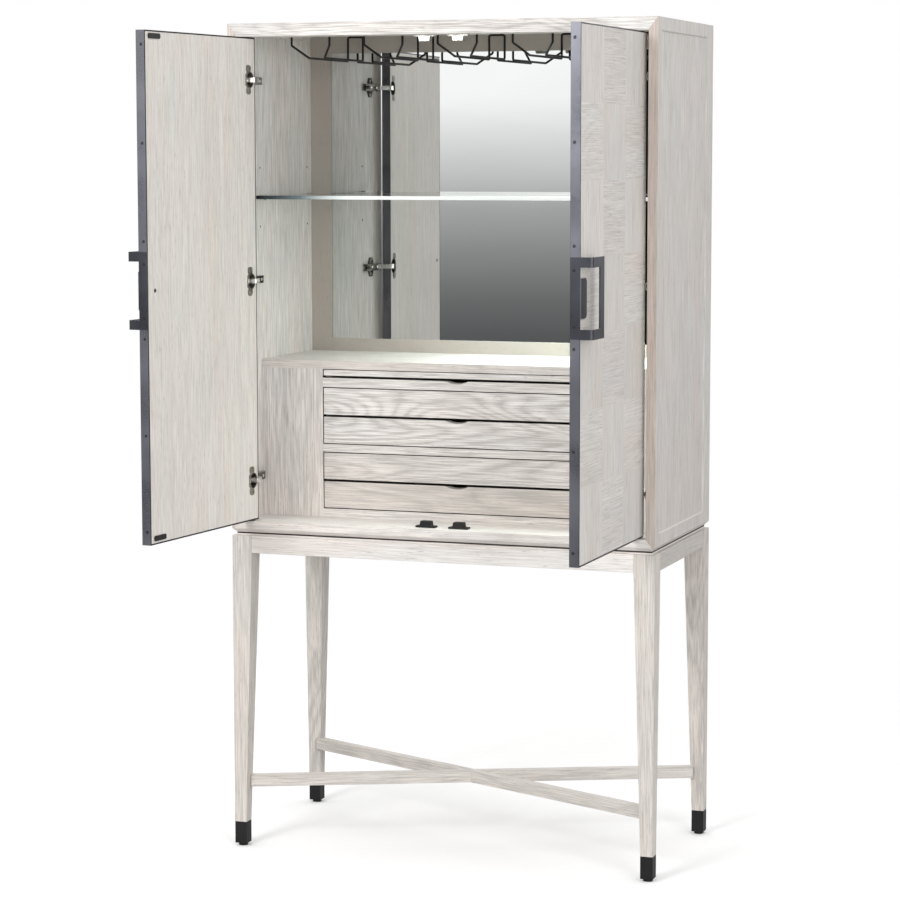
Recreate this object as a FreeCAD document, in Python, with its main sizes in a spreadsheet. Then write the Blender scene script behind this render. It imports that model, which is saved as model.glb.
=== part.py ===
import FreeCAD, Part
import math
import os
import re
import Sketcher

# Drinks cabinet on a separate stand, 950 x 455 x 1790 mm, with two inset doors.
# The frame: X to the right, Y to the back, Z up, origin on the floor under the middle of the carcass.
# The doors are built shut, round their own hinge axis, and are turned to the angle at which they rest open.

os.makedirs("parts", exist_ok=True)
doc = FreeCAD.newDocument("drinks_cabinet")

# Driving sizes, in millimetres and degrees.

SIZES = {
    # carcass
    "half_width": 475, "front_y": -227.5, "back_y": 227.5, "carcass_low": 697, "carcass_top": 1790,
    "side_thick": 20, "board_thick": 25, "base_bevel": 8,
    "side_recess": 2.2, "recess_front": 29, "recess_back": 53, "recess_low": 731, "recess_high": 1763,
    "back_front": 427, "back_thick": 12, "groove_depth": 6,
    # the recessed ceiling behind the front edge of the top board
    "ceiling": 1777, "lip_deep": 60, "lip_drop": 3,
    # shelf pegs
    "peg_dia": 5, "peg_deep": 10, "peg_front": 122, "peg_back": 390, "peg_mid": 1420, "peg_pitch": 64,
    # mirror
    "mirror_face": 415, "stile_wide": 47, "rail_low": 1094, "rail_high": 1740, "rabbet_wide": 8, "rabbet_deep": 6,
    # counter and glass shelf
    "counter_low": 1047, "counter_top": 1065, "counter_front": 122,
    "clip_low": 2.5, "clip_high": 2, "clip_reach": 10, "clip_wide": 12,
    "glass_low": 1416, "glass_top": 1424, "glass_front": 95, "glass_back": 405, "glass_half": 453,
    # glass racks
    "rack_pitch": 168, "rack_wire": 5, "rack_half": 18, "rack_flare": 44, "rack_z": 1721, "rack_drop": 1747,
    "rack_mouth": 127, "rack_throat": 163, "rack_end": 392, "rack_bend": 4.5,
    # drawer case
    "frame_thick": 18, "bay_half": 310, "slot_low": 1028, "upper_bay_top": 1007.5, "upper_bay_low": 882.5,
    "lower_bay_top": 865.5, "lower_bay_low": 740.5, "case_side": 18, "case_back": 427,
    "scoop_half": 27, "scoop_deep": 6.5, "scoop_slope": 6,
    # drawers
    "front_high": 58, "bay_gap": 2, "front_gap": 5, "box_half": 308, "box_side": 12, "box_high": 46,
    "box_lift": 7, "box_back": 400, "floor_thick": 4, "floor_lift": 6, "floor_tongue": 5,
    "runner_high": 10, "runner_out": 8.5, "runner_lift": 24, "runner_gap": 0.3, "runner_back": 424,
    # pull-out shelf
    "tray_low": 1033, "tray_high": 1045.5, "tray_back": 420, "ledge_high": 15, "ledge_out": 12,
    # stand
    "leg_top": 690, "leg_wide": 45, "leg_taper_top": 652, "leg_foot": 27, "ferrule_top": 54, "ferrule_low": 6,
    "ferrule_wall": 1.5, "ferrule_sole": 2, "stem_dia": 8, "stem_fit": 0.08, "stem_high": 40, "disc_dia": 20,
    "apron_thick": 20, "apron_back_set": 1, "stand_inset": 8.5,
    "stretcher_z": 142.5, "stretcher_high": 25, "stretcher_wide": 22,
    # doors
    "door_wide": 452, "door_low": 724.5, "door_high": 1036, "door_thick": 20, "strip": 3,
    "pivot_u": 17, "pivot_v": 8, "pivot_x": 436, "left_open": 95.4, "right_open": 89.6,
    # hinges
    "hinge_low": 811, "hinge_mid": 1242, "hinge_high": 1671, "cup_u": 22.5, "cup_dia": 35, "cup_wall": 1,
    "cup_deep": 16, "wing_high": 62, "wing_wide": 24, "wing_shift": 7.5, "wing_neck": 12, "wing_ear": 19,
    "wing_thick": 1.5, "pin_dia": 3, "barrel_bore": 3.1, "barrel_dia": 5.8, "arm_thick": 3.5, "arm_high": 10,
    "arm_body_high": 16, "arm_body_out": 12, "arm_body_front": 30, "arm_body_back": 118, "plate_thick": 2,
    "plate_high": 46, "plate_mid": 74, "plate_wide": 34, "fork_wide": 7, "fork_deep": 12,
    # handles
    "handle_mid": 1240.5, "handle_high": 157, "handle_thick": 3, "handle_out": 26, "handle_in": 378,
    "handle_arm": 19.5, "handle_bar": 26, "tongue_in": 417, "tongue_high": 77, "tongue_clip": 6, "handle_bend": 5,
    # catches
    "catch_x": 37, "catch_wide": 44, "catch_front": 23, "catch_back": 40, "catch_high": 14,
    "catch_flange": 4, "catch_block": 22, "catch_slope": 2, "pole_lift": 10.5, "pole_high": 3,
    "pole_out": 0.6, "strike_lift": 1.2, "strike_wide": 46, "strike_high": 11, "strike_thick": 2,
}

sheet = doc.addObject("Spreadsheet::Sheet", "Sizes")
for row, (alias, value) in enumerate(SIZES.items(), start=1):
    sheet.set("A%d" % row, alias)
    sheet.set("B%d" % row, str(value))
    sheet.setAlias("B%d" % row, alias)
doc.recompute()

OVER = 5  # how far a cutting shape runs past the face that it cuts
SUBPARTS = []


def cell(alias):
    return float(sheet.get(alias))


def bound(text):
    # turns the plain names in a formula into references to the sheet
    return re.sub(r"[a-z][a-z_]*", lambda m: "Sizes." + m.group() if m.group() in SIZES else m.group(), str(text))


def bind(thing, prop, text):
    thing.setExpression(prop, bound(text))


def keep(thing, label):
    thing.Label = label
    SUBPARTS.append(thing)
    return thing


# Sketches and features that the pieces share.

SKETCH_PLANES = {"XY": "XY_Plane", "XZ": "XZ_Plane", "YZ": "YZ_Plane"}


def sketch_on(body, plane, offset):
    sketch = body.newObject("Sketcher::SketchObject", "Sketch")
    origin_plane = [o for o in body.Origin.OriginFeatures if o.Role == SKETCH_PLANES[plane]][0]
    sketch.AttachmentSupport = (origin_plane, [""])
    sketch.MapMode = "FlatFace"
    bind(sketch, "AttachmentOffset.Base.z", offset)
    return sketch


def outline(sketch, corners):
    # a closed outline whose corners are held at distances from the sketch's origin
    first = sketch.GeometryCount
    count = len(corners)
    around = [
        FreeCAD.Vector(math.cos(math.tau * i / count), math.sin(math.tau * i / count), 0)
        for i in range(count)
    ]
    for i in range(count):
        sketch.addGeometry(Part.LineSegment(around[i], around[(i + 1) % count]))
    for i in range(count):
        sketch.addConstraint(
            Sketcher.Constraint("Coincident", first + i, 2, first + (i + 1) % count, 1)
        )
    for i, corner in enumerate(corners):
        for kind, formula in zip(("DistanceX", "DistanceY"), corner):
            held = sketch.addConstraint(Sketcher.Constraint(kind, -1, 1, first + i, 1, 1.0))
            bind(sketch, "Constraints[%d]" % held, formula)


def rectangle(across, up):
    return [(across[0], up[0]), (across[1], up[0]), (across[1], up[1]), (across[0], up[1])]


def circles(sketch, centres, diameter):
    for centre in centres:
        index = sketch.addGeometry(Part.Circle(FreeCAD.Vector(1, 1, 0), FreeCAD.Vector(0, 0, 1), 1))
        for kind, formula in zip(("DistanceX", "DistanceY"), centre):
            held = sketch.addConstraint(Sketcher.Constraint(kind, -1, 1, index, 3, 1.0))
            bind(sketch, "Constraints[%d]" % held, formula)
        held = sketch.addConstraint(Sketcher.Constraint("Diameter", index, 2.0))
        bind(sketch, "Constraints[%d]" % held, diameter)


def pad(body, plane, start, length, outlines, round_holes=(), diameter=None):
    # pads from start towards +X, +Y or +Z, whichever is square to the plane
    towards_back = plane == "XZ"
    sketch = sketch_on(body, plane, "-(%s)" % start if towards_back else start)
    for corners in outlines:
        outline(sketch, corners)
    circles(sketch, round_holes, diameter)
    feature = body.newObject("PartDesign::Pad", "Pad")
    feature.Profile = sketch
    feature.Reversed = towards_back
    bind(feature, "Length", length)
    return feature


def pocket(body, plane, start, length, outlines, round_holes=(), diameter=None, slope=None):
    # cuts from start towards +X, +Y or +Z, whichever is square to the plane
    towards_back = plane == "XZ"
    sketch = sketch_on(body, plane, "-(%s)" % start if towards_back else start)
    for corners in outlines:
        outline(sketch, corners)
    circles(sketch, round_holes, diameter)
    feature = body.newObject("PartDesign::Pocket", "Pocket")
    feature.Profile = sketch
    feature.Reversed = not towards_back
    bind(feature, "Length", length)
    if slope:
        bind(feature, "TaperAngle", slope)
    return feature


def edges_where(body, wanted):
    doc.recompute()
    return ["Edge%d" % (i + 1) for i, edge in enumerate(body.Shape.Edges) if wanted(edge)]


def chamfer(body, edges, size):
    base = body.Tip
    feature = body.newObject("PartDesign::Chamfer", "Chamfer")
    feature.Base = (base, edges)
    feature.Size = size
    body.Tip = feature


def new_body():
    return doc.addObject("PartDesign::Body", "Body")


def board(across, depth, height):
    # a square-edged board between three pairs of limits
    body = new_body()
    pad(body, "XY", height[0], "(%s) - (%s)" % (height[1], height[0]), [rectangle(across, depth)])
    return body


def group(label, members):
    compound = doc.addObject("Part::Compound", "Group")
    compound.Links = members
    return keep(compound, label)


def from_front(text):
    # a depth given from the front face of the carcass
    return "front_y + %s" % text


# Carcass: four boards mitred at the corners, bevelled round the bottom, grooved for the back.

MITRE_CUT = "base_bevel * side_thick / (side_thick + board_thick)"
MITRE_RISE = "base_bevel * board_thick / (side_thick + board_thick)"


def bevel_front_and_back(body):
    # the bevel that runs along the bottom edges of the front and back faces
    cuts = []
    for face, inward in (("front_y", 1), ("back_y", -1)):
        cuts.append([
            ("%s - %d * %d" % (face, inward, OVER), "carcass_low - %d" % OVER),
            ("%s + %d * (base_bevel + %d)" % (face, inward, OVER), "carcass_low - %d" % OVER),
            ("%s - %d * %d" % (face, inward, OVER), "carcass_low + base_bevel + %d" % OVER),
        ])
    pocket(body, "YZ", "-half_width - %d" % OVER, "2 * half_width + %d" % (2 * OVER), cuts)


def groove_for_back(body):
    reach = "half_width - side_thick + groove_depth"
    low = "carcass_low + board_thick - groove_depth"
    high = "carcass_top - board_thick + groove_depth"
    pocket(body, "XZ", from_front("back_front"), "back_thick",
           [rectangle(("-(%s)" % reach, reach), (low, high))])


def side_panel(label, hand):
    # hand is -1 for the left side and 1 for the right one
    body = new_body()
    out = "%d * half_width" % hand
    inner = "%d * (half_width - side_thick)" % hand
    toe = "%d * (half_width - %s)" % (hand, MITRE_CUT)
    pad(body, "XZ", "front_y", "back_y - front_y", [[
        (out, "carcass_low + base_bevel"), (out, "carcass_top"), (inner, "carcass_top - board_thick"),
        (inner, "carcass_low + board_thick"), (toe, "carcass_low + %s" % MITRE_RISE),
    ]])
    bevel_front_and_back(body)
    groove_for_back(body)
    # the recessed field of the outer face, with sloping edges
    field = rectangle((from_front("recess_front"), "back_y - recess_back"), ("recess_low", "recess_high"))
    start = "-half_width" if hand < 0 else "half_width"
    sketch = sketch_on(body, "YZ", start)
    outline(sketch, field)
    recess = body.newObject("PartDesign::Pocket", "Recess")
    recess.Profile = sketch
    recess.Reversed = hand < 0
    recess.TaperAngle = -45
    bind(recess, "Length", "side_recess")
    # peg holes for the glass shelf
    pegs = [
        (from_front(depth), "peg_mid + %d * peg_pitch" % step)
        for depth in ("peg_front", "peg_back") for step in (-1, 0, 1)
    ]
    hole_start = "-half_width + side_thick - peg_deep" if hand < 0 else "half_width - side_thick"
    pocket(body, "YZ", hole_start, "peg_deep", [], pegs, "peg_dia")
    return keep(body, label)


def cross_board(label, outer, inner):
    # the top or bottom board, from its outer face to its mitred inner face
    body = new_body()
    reach = "half_width - side_thick"
    if outer == "carcass_top":
        corners = [("-half_width", outer), ("half_width", outer), (reach, inner), ("-(%s)" % reach, inner)]
    else:
        toe = "half_width - %s" % MITRE_CUT
        toe_z = "carcass_low + %s" % MITRE_RISE
        foot = "half_width - base_bevel"
        corners = [("-(%s)" % toe, toe_z), ("-(%s)" % foot, outer), (foot, outer),
                   (toe, toe_z), (reach, inner), ("-(%s)" % reach, inner)]
    pad(body, "XZ", "front_y", "back_y - front_y", [corners])
    if outer == "carcass_low":
        bevel_front_and_back(body)
    groove_for_back(body)
    return keep(body, label)


side_panel("side_panel_left", -1)
side_panel("side_panel_right", 1)
top = cross_board("top_panel", "carcass_top", "carcass_top - board_thick")
cross_board("bottom_panel", "carcass_low", "carcass_low + board_thick")

# behind its front edge the top board is hollowed from below, and the edge hangs a little lower
INNER = "half_width - side_thick"
ACROSS = ("-(%s)" % INNER, INNER)
LIP = "carcass_top - board_thick - lip_drop"
pocket(top, "XY", "carcass_top - board_thick - %d" % OVER, "ceiling - carcass_top + board_thick + %d" % OVER,
       [rectangle(ACROSS, (from_front("lip_deep"), from_front("back_front")))])
pad(top, "XY", LIP, "lip_drop", [rectangle(ACROSS, ("front_y", from_front("lip_deep")))])

BACK_REACH = "half_width - side_thick + groove_depth"
keep(
    board(("-(%s)" % BACK_REACH, BACK_REACH),
          (from_front("back_front"), from_front("back_front + back_thick")),
          ("carcass_low + board_thick - groove_depth", "carcass_top - board_thick + groove_depth")),
    "back_panel",
)


# Mirror: two stiles and two rails, rebated at the back for the glass, and the glass.

CEILING = "ceiling"


def mirror_member(across, height, rebate_across, rebate_height):
    member = board(across, (from_front("mirror_face"), from_front("back_front")), height)
    pocket(member, "XZ", from_front("back_front - rabbet_deep"), "rabbet_deep + %d" % OVER,
           [rectangle(rebate_across, rebate_height)])
    return member


def mirror_frame():
    window = "half_width - side_thick - stile_wide"
    rebate = ("-(%s + rabbet_wide)" % window, "%s + rabbet_wide" % window)
    rebate_z = ("rail_low - rabbet_wide", "rail_high + rabbet_wide")
    members = []
    for hand in (-1, 1):
        across = ("%d * (%s)" % (hand, window), "%d * (%s)" % (hand, INNER))
        members.append(mirror_member(across, ("counter_low", CEILING), rebate, rebate_z))
    across = ("-(%s)" % window, window)
    members.append(mirror_member(across, ("counter_low", "rail_low"), rebate, rebate_z))
    members.append(mirror_member(across, ("rail_high", CEILING), rebate, rebate_z))
    group("mirror_frame", members)
    keep(board(rebate, (from_front("back_front - rabbet_deep"), from_front("back_front")), rebate_z),
         "mirror_glass")


mirror_frame()


# Counter over the drawers, glass shelf and the clips that hold it.

keep(
    board(("-(%s)" % INNER, INNER), (from_front("counter_front"), from_front("mirror_face")),
          ("counter_low", "counter_top")),
    "counter_top",
)


def glass_shelf():
    shelf = board(("-glass_half", "glass_half"), (from_front("glass_front"), from_front("glass_back")),
                  ("glass_low", "glass_top"))
    level_edges = edges_where(shelf, lambda edge: abs(edge.Vertexes[0].Z - edge.Vertexes[1].Z) < 1e-6)
    chamfer(shelf, level_edges, 0.8)
    keep(shelf, "glass_shelf")


def shelf_clip(hand, depth):
    # a channel that grips the edge of the glass, on a peg
    body = new_body()
    wall = "%d * (%s)" % (hand, INNER)
    web = "%d * glass_half" % hand
    lip = "%d * (glass_half - clip_reach)" % hand
    low = "glass_low - clip_low"
    high = "glass_top + clip_high"
    pad(body, "XZ", from_front("%s - clip_wide / 2" % depth), "clip_wide", [[
        (wall, low), (lip, low), (lip, "glass_low"), (web, "glass_low"),
        (web, "glass_top"), (lip, "glass_top"), (lip, high), (wall, high),
    ]])
    peg_start = "-(%s) - peg_deep" % INNER if hand < 0 else INNER
    pad(body, "YZ", peg_start, "peg_deep", [], [(from_front(depth), "peg_mid")], "peg_dia")
    return body


glass_shelf()
group("shelf_clips", [shelf_clip(hand, depth) for hand in (-1, 1) for depth in ("peg_front", "peg_back")])


# Glass racks: each one a single bent wire, up into the top board at both ends.


def bent_path(points, bend):
    # straight runs, with each bend drawn as two chords of its arc
    along = [points[0]]
    for before, corner, after in zip(points, points[1:], points[2:]):
        into = (corner - before).normalize()
        out_of = (after - corner).normalize()
        turn = into.getAngle(out_of)
        cut = bend * math.tan(turn / 2)
        to_centre = (out_of - into).normalize()
        crown = corner + to_centre * (bend / math.cos(turn / 2) - bend)
        along += [corner - into * cut, crown, corner + out_of * cut]
    return Part.makePolygon(along + points[-1:])


def rack_wire(centre):
    front = cell("front_y")
    mouth = front + cell("rack_mouth")
    throat = front + cell("rack_throat")
    end = front + cell("rack_end")
    ceiling = cell("ceiling")
    radius = cell("rack_wire") / 2

    def half(side):
        flare = centre + side * cell("rack_flare")
        rail = centre + side * cell("rack_half")
        return [
            FreeCAD.Vector(flare, mouth, ceiling),
            FreeCAD.Vector(flare, mouth, cell("rack_drop")),
            FreeCAD.Vector(rail, throat, cell("rack_z")),
            FreeCAD.Vector(rail, end, cell("rack_z")),
            FreeCAD.Vector(rail, end, ceiling - radius),
        ]

    path = bent_path(half(-1) + half(1)[::-1], cell("rack_bend"))
    # the round wire is drawn with eight flats
    flats = 8
    around = [
        half(-1)[0] + FreeCAD.Vector(math.cos(math.tau * i / flats), math.sin(math.tau * i / flats), 0) * radius
        for i in range(flats + 1)
    ]
    mitred = 1
    return path.makePipeShell([Part.makePolygon(around)], True, False, mitred)


racks = doc.addObject("Part::Feature", "Racks")
racks.Shape = Part.makeCompound([rack_wire(step * cell("rack_pitch")) for step in range(-2, 3)])
keep(racks, "stemware_racks")


# Drawer case: face frame, two case sides, runners and the ledges of the pull-out shelf.

FACE = from_front("counter_front")
FACE_BACK = from_front("(counter_front + frame_thick)")
FLOOR = "carcass_low + board_thick"


def cut_scoop(body, top):
    # a shallow round hollow for a finger in the top edge, which slopes up towards the back
    radius = "(scoop_half^2 + scoop_deep^2) / (2 * scoop_deep)"
    pocket(body, "XZ", from_front("counter_front"), "frame_thick + %d" % OVER, [],
           [("0", "%s - scoop_deep + %s" % (top, radius))], "2 * " + radius, slope="-scoop_slope")


def face_frame():
    depth = (FACE, FACE_BACK)
    bay = ("-bay_half", "bay_half")
    top_rail = board(bay, depth, ("upper_bay_top", "slot_low"))
    cut_scoop(top_rail, "slot_low")
    members = [
        board(("-(%s)" % INNER, "-bay_half"), depth, (FLOOR, "counter_low")),
        board(("bay_half", INNER), depth, (FLOOR, "counter_low")),
        top_rail,
        board(bay, depth, ("lower_bay_top", "upper_bay_low")),
        board(bay, depth, (FLOOR, "lower_bay_low")),
    ]
    group("drawer_face_frame", members)


DRAWER_BASES = {
    1: "upper_bay_low + bay_gap + front_high + front_gap",
    2: "upper_bay_low + bay_gap",
    3: "lower_bay_low + bay_gap + front_high + front_gap",
    4: "lower_bay_low + bay_gap",
}


def runner_block():
    strips = []
    for hand in (-1, 1):
        for base in DRAWER_BASES.values():
            strips.append(board(
                ("%d * (bay_half - runner_out)" % hand, "%d * bay_half" % hand),
                (FACE_BACK, from_front("runner_back")),
                ("%s + runner_lift" % base, "%s + runner_lift + runner_high" % base),
            ))
        strips.append(board(
            ("%d * (bay_half - ledge_out)" % hand, "%d * bay_half" % hand),
            (FACE_BACK, from_front("runner_back")),
            ("tray_low - ledge_high", "tray_low"),
        ))
    group("drawer_runners", strips)


face_frame()
group("drawer_case_sides", [
    board(("%d * bay_half" % hand, "%d * (bay_half + case_side)" % hand),
          (FACE_BACK, from_front("case_back")), (FLOOR, "counter_low"))
    for hand in (-1, 1)
])
runner_block()


# Drawers: a front, a box of two sides and a back, and a thin floor in a groove.

HALF_FRONT = "bay_half - bay_gap"


def drawer_front(label, base, scooped):
    body = board(("-(%s)" % HALF_FRONT, HALF_FRONT), (FACE, FACE_BACK), (base, "%s + front_high" % base))
    pocket(body, "XZ", from_front("(counter_front + frame_thick - floor_tongue)"), "floor_tongue + %d" % OVER,
           [rectangle(("-(box_half - box_side + floor_tongue)", "box_half - box_side + floor_tongue"),
                      ("%s + box_lift + floor_lift" % base, "%s + box_lift + floor_lift + floor_thick" % base))])
    if scooped:
        cut_scoop(body, "%s + front_high" % base)
    keep(body, label)


def drawer_side(hand, base):
    low = "%s + box_lift" % base
    body = board(("%d * (box_half - box_side)" % hand, "%d * box_half" % hand),
                 (FACE_BACK, from_front("box_back")), (low, "%s + box_high" % low))
    # the groove that slides on the runner
    pocket(body, "XZ", from_front("(counter_front + frame_thick - %d)" % OVER),
           "box_back - counter_front - frame_thick + %d" % (2 * OVER),
           [rectangle(("%d * (bay_half - runner_out - runner_gap)" % hand, "%d * (box_half + %d)" % (hand, OVER)),
                      ("%s + runner_lift - runner_gap" % base,
                       "%s + runner_lift + runner_high + runner_gap" % base))])
    # the groove for the floor
    pocket(body, "XZ", from_front("(counter_front + frame_thick - %d)" % OVER),
           "box_back - counter_front - frame_thick + %d" % (2 * OVER),
           [rectangle(("%d * (box_half - box_side - %d)" % (hand, OVER),
                       "%d * (box_half - box_side + floor_tongue)" % hand),
                      ("%s + floor_lift" % low, "%s + floor_lift + floor_thick" % low))])
    return body


def drawer(number, base, scooped):
    drawer_front("drawer_%d_front" % number, base, scooped)
    low = "%s + box_lift" % base
    back = board(("-(box_half - box_side)", "box_half - box_side"),
                 (from_front("(box_back - box_side)"), from_front("box_back")),
                 ("%s + floor_lift + floor_thick" % low, "%s + box_high" % low))
    group("drawer_%d_box" % number, [drawer_side(-1, base), drawer_side(1, base), back])
    keep(
        board(("-(box_half - box_side + floor_tongue)", "box_half - box_side + floor_tongue"),
              (from_front("(counter_front + frame_thick - floor_tongue)"), from_front("box_back")),
              ("%s + floor_lift" % low, "%s + floor_lift + floor_thick" % low)),
        "drawer_%d_floor" % number,
    )


for number, base in DRAWER_BASES.items():
    drawer(number, base, scooped=number in (2, 4))


# Pull-out shelf: a board with a lipping along its front edge.

keep(
    board(("-(%s)" % HALF_FRONT, HALF_FRONT), (FACE_BACK, from_front("tray_back")), ("tray_low", "tray_high")),
    "pull_out_shelf",
)
keep(
    board(("-(%s)" % HALF_FRONT, HALF_FRONT), (FACE, FACE_BACK), ("tray_low", "tray_high")),
    "pull_out_shelf_lipping",
)


# Catches: a body on the floor or under the top board, with two pole plates that meet the strike plate.


def catch(hand, seat, grow):
    # grow is 1 where the catch stands up from its seat and -1 where it hangs
    body = new_body()
    mid = "%d * catch_x" % hand
    flange = "%s + %d * catch_flange" % (seat, grow)
    far = "%s + %d * catch_high" % (seat, grow)
    sides = ("%s - catch_wide / 2" % mid, "%s + catch_wide / 2" % mid)
    block = ("%s - catch_block / 2" % mid, "%s + catch_block / 2" % mid)
    pad(body, "XZ", from_front("catch_front"), "catch_back - catch_front", [[
        (sides[0], seat), (sides[1], seat), (sides[1], flange), ("%s + catch_slope" % block[1], flange),
        (block[1], far), (block[0], far), ("%s - catch_slope" % block[0], flange), (sides[0], flange),
    ]])
    pole_low = "%s + %d * pole_lift" % (seat, grow)
    pole_high = "%s + %d * (pole_lift + pole_high)" % (seat, grow)
    pad(body, "XZ", from_front("(catch_front - pole_out)"), "pole_out + 1", [
        rectangle(("%s - catch_block / 3" % mid, "%s + catch_block / 3" % mid), (pole_low, pole_high))
    ])
    return body


group("floor_catches", [catch(hand, FLOOR, 1) for hand in (-1, 1)])
group("ceiling_catches", [catch(hand, LIP, -1) for hand in (-1, 1)])


# Stand: tapered legs with metal ferrules, aprons, a thin top board and a half-lapped pair of cross stretchers.

CORNERS = {"front_left": (-1, -1), "front_right": (1, -1), "back_left": (-1, 1), "back_right": (1, 1)}


def corner_square(hand, rear, width, inset="0"):
    # a square in the corner of the footprint, its outer faces set in by inset
    edge = "front_y" if rear < 0 else "back_y"
    across = ("%d * (half_width - %s)" % (hand, inset), "%d * (half_width - %s - (%s))" % (hand, inset, width))
    depth = ("%s - %d * %s" % (edge, rear, inset), "%s - %d * (%s + %s)" % (edge, rear, inset, width))
    return rectangle(across, depth)


def leg(place, hand, rear):
    # square at the top, then tapered on the two faces that look into the stand
    body = new_body()
    pad(body, "XY", "ferrule_top", "leg_top - ferrule_top", [corner_square(hand, rear, "leg_wide")])
    for plane, sign, edge in (("XZ", hand, "half_width"), ("YZ", rear, "back_y")):
        wedge = [("%d * (%s - leg_wide)" % (sign, edge), "leg_taper_top"),
                 ("%d * (%s - leg_foot)" % (sign, edge), "ferrule_top"),
                 ("%d * (%s - leg_wide)" % (sign, edge), "ferrule_top")]
        start, length = ("front_y", "back_y - front_y") if plane == "XZ" else ("-half_width", "2 * half_width")
        pocket(body, plane, start, length, [wedge])
    # the reduced end that the ferrule covers
    pad(body, "XY", "ferrule_low + ferrule_sole", "ferrule_top - ferrule_low - ferrule_sole",
        [corner_square(hand, rear, "leg_foot - 2 * ferrule_wall", "ferrule_wall")])
    # the bore for the glide's stem
    centre = ("%d * (half_width - leg_foot / 2)" % hand, "%d * (back_y - leg_foot / 2)" % rear)
    pocket(body, "XY", "ferrule_low", "stem_high", [], [centre], "stem_dia + 2 * stem_fit")
    return keep(body, "leg_" + place)


def ferrule(hand, rear):
    body = new_body()
    pad(body, "XY", "ferrule_low", "ferrule_top - ferrule_low", [corner_square(hand, rear, "leg_foot")])
    pocket(body, "XY", "ferrule_low + ferrule_sole", "ferrule_top - ferrule_low",
           [corner_square(hand, rear, "leg_foot - 2 * ferrule_wall", "ferrule_wall")])
    centre = ("%d * (half_width - leg_foot / 2)" % hand, "%d * (back_y - leg_foot / 2)" % rear)
    pocket(body, "XY", "ferrule_low - %d" % OVER, "ferrule_sole + %d" % (2 * OVER), [], [centre],
           "stem_dia + 2 * stem_fit")
    return body


def glide(place, hand, rear):
    # a disc on a stem, turned up the bore of the leg
    centre = ("%d * (half_width - leg_foot / 2)" % hand, "%d * (back_y - leg_foot / 2)" % rear)
    body = new_body()
    pad(body, "XY", "0", "ferrule_low", [], [centre], "disc_dia")
    pad(body, "XY", "ferrule_low - 2", "stem_high - 4", [], [centre], "stem_dia")
    return keep(body, "levelling_glide_" + place)


legs = {place: leg(place, *signs) for place, signs in CORNERS.items()}
group("leg_ferrules", [ferrule(*signs) for signs in CORNERS.values()])
for place, signs in CORNERS.items():
    glide(place, *signs)

BETWEEN_LEGS = ("-(half_width - leg_wide)", "half_width - leg_wide")
APRON_HEIGHT = ("leg_taper_top", "leg_top")
keep(board(BETWEEN_LEGS, ("front_y + apron_back_set", "front_y + apron_back_set + apron_thick"), APRON_HEIGHT),
     "apron_front")
keep(board(BETWEEN_LEGS, ("back_y - apron_back_set - apron_thick", "back_y - apron_back_set"), APRON_HEIGHT),
     "apron_back")
group("aprons_side", [
    board(("%d * (half_width - apron_back_set - apron_thick)" % hand, "%d * (half_width - apron_back_set)" % hand),
          ("front_y + leg_wide", "back_y - leg_wide"), APRON_HEIGHT)
    for hand in (-1, 1)
])
keep(board(("-(half_width - stand_inset)", "half_width - stand_inset"),
           ("front_y + stand_inset", "back_y - stand_inset"), ("leg_top", "carcass_low")), "stand_top")


def diagonal_bar(length, wide, low, high, angle):
    bar = doc.addObject("Part::Box", "Bar")
    bind(bar, "Length", length)
    bind(bar, "Width", wide)
    bind(bar, "Height", "(%s) - (%s)" % (high, low))
    spin = doc.addObject("Part::Compound", "Turned")
    bind(bar, "Placement.Base.x", "-(%s) / 2" % length)
    bind(bar, "Placement.Base.y", "-(%s) / 2" % wide)
    bind(bar, "Placement.Base.z", low)
    spin.Links = [bar]
    spin.Placement = FreeCAD.Placement(FreeCAD.Vector(0, 0, 0), FreeCAD.Rotation(FreeCAD.Vector(0, 0, 1), 0))
    bind(spin, "Placement.Rotation.Angle", angle)
    return spin


def cut(base, tool, name="Cut"):
    result = doc.addObject("Part::Cut", name)
    result.Base = base
    result.Tool = tool
    return result


def stretcher(label, sense, near, far, lap_up):
    # a bar from leg to leg, notched over their corners, with half its height cut away at the crossing
    slope = "atan((back_y - leg_foot) / (half_width - leg_foot))"
    long_way = "2 * sqrt((half_width - leg_foot)^2 + (back_y - leg_foot)^2)"
    low = "stretcher_z - stretcher_high / 2"
    high = "stretcher_z + stretcher_high / 2"
    bar = diagonal_bar(long_way, "stretcher_wide", low, high, "%d * %s" % (sense, slope))
    lap = (("stretcher_z", "%s + %d" % (high, OVER)) if lap_up else ("%s - %d" % (low, OVER), "stretcher_z"))
    slot = diagonal_bar("4 * stretcher_wide", "stretcher_wide", lap[0], lap[1], "%d * %s" % (-sense, slope))
    # plain copies of the two tapered legs stand in as the notching shapes
    notched = cut(bar, slot)
    for post in (near, far):
        tool = doc.addObject("App::Link", "LegShape")
        tool.LinkedObject = legs[post]
        notched = cut(notched, tool)
    return keep(notched, label)


stretcher("cross_stretcher_front_left", 1, "front_left", "back_right", True)
stretcher("cross_stretcher_front_right", -1, "front_right", "back_left", False)


# Doors. Each door piece is drawn shut, with u from the hinge edge and v inwards from the outer face,
# and its own zero on the hinge axis.

HINGES = ("hinge_low", "hinge_mid", "hinge_high")
HANDLE = ("handle_mid - handle_high / 2", "handle_mid + handle_high / 2")
DOOR_TOP = "door_low + door_high"


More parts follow.
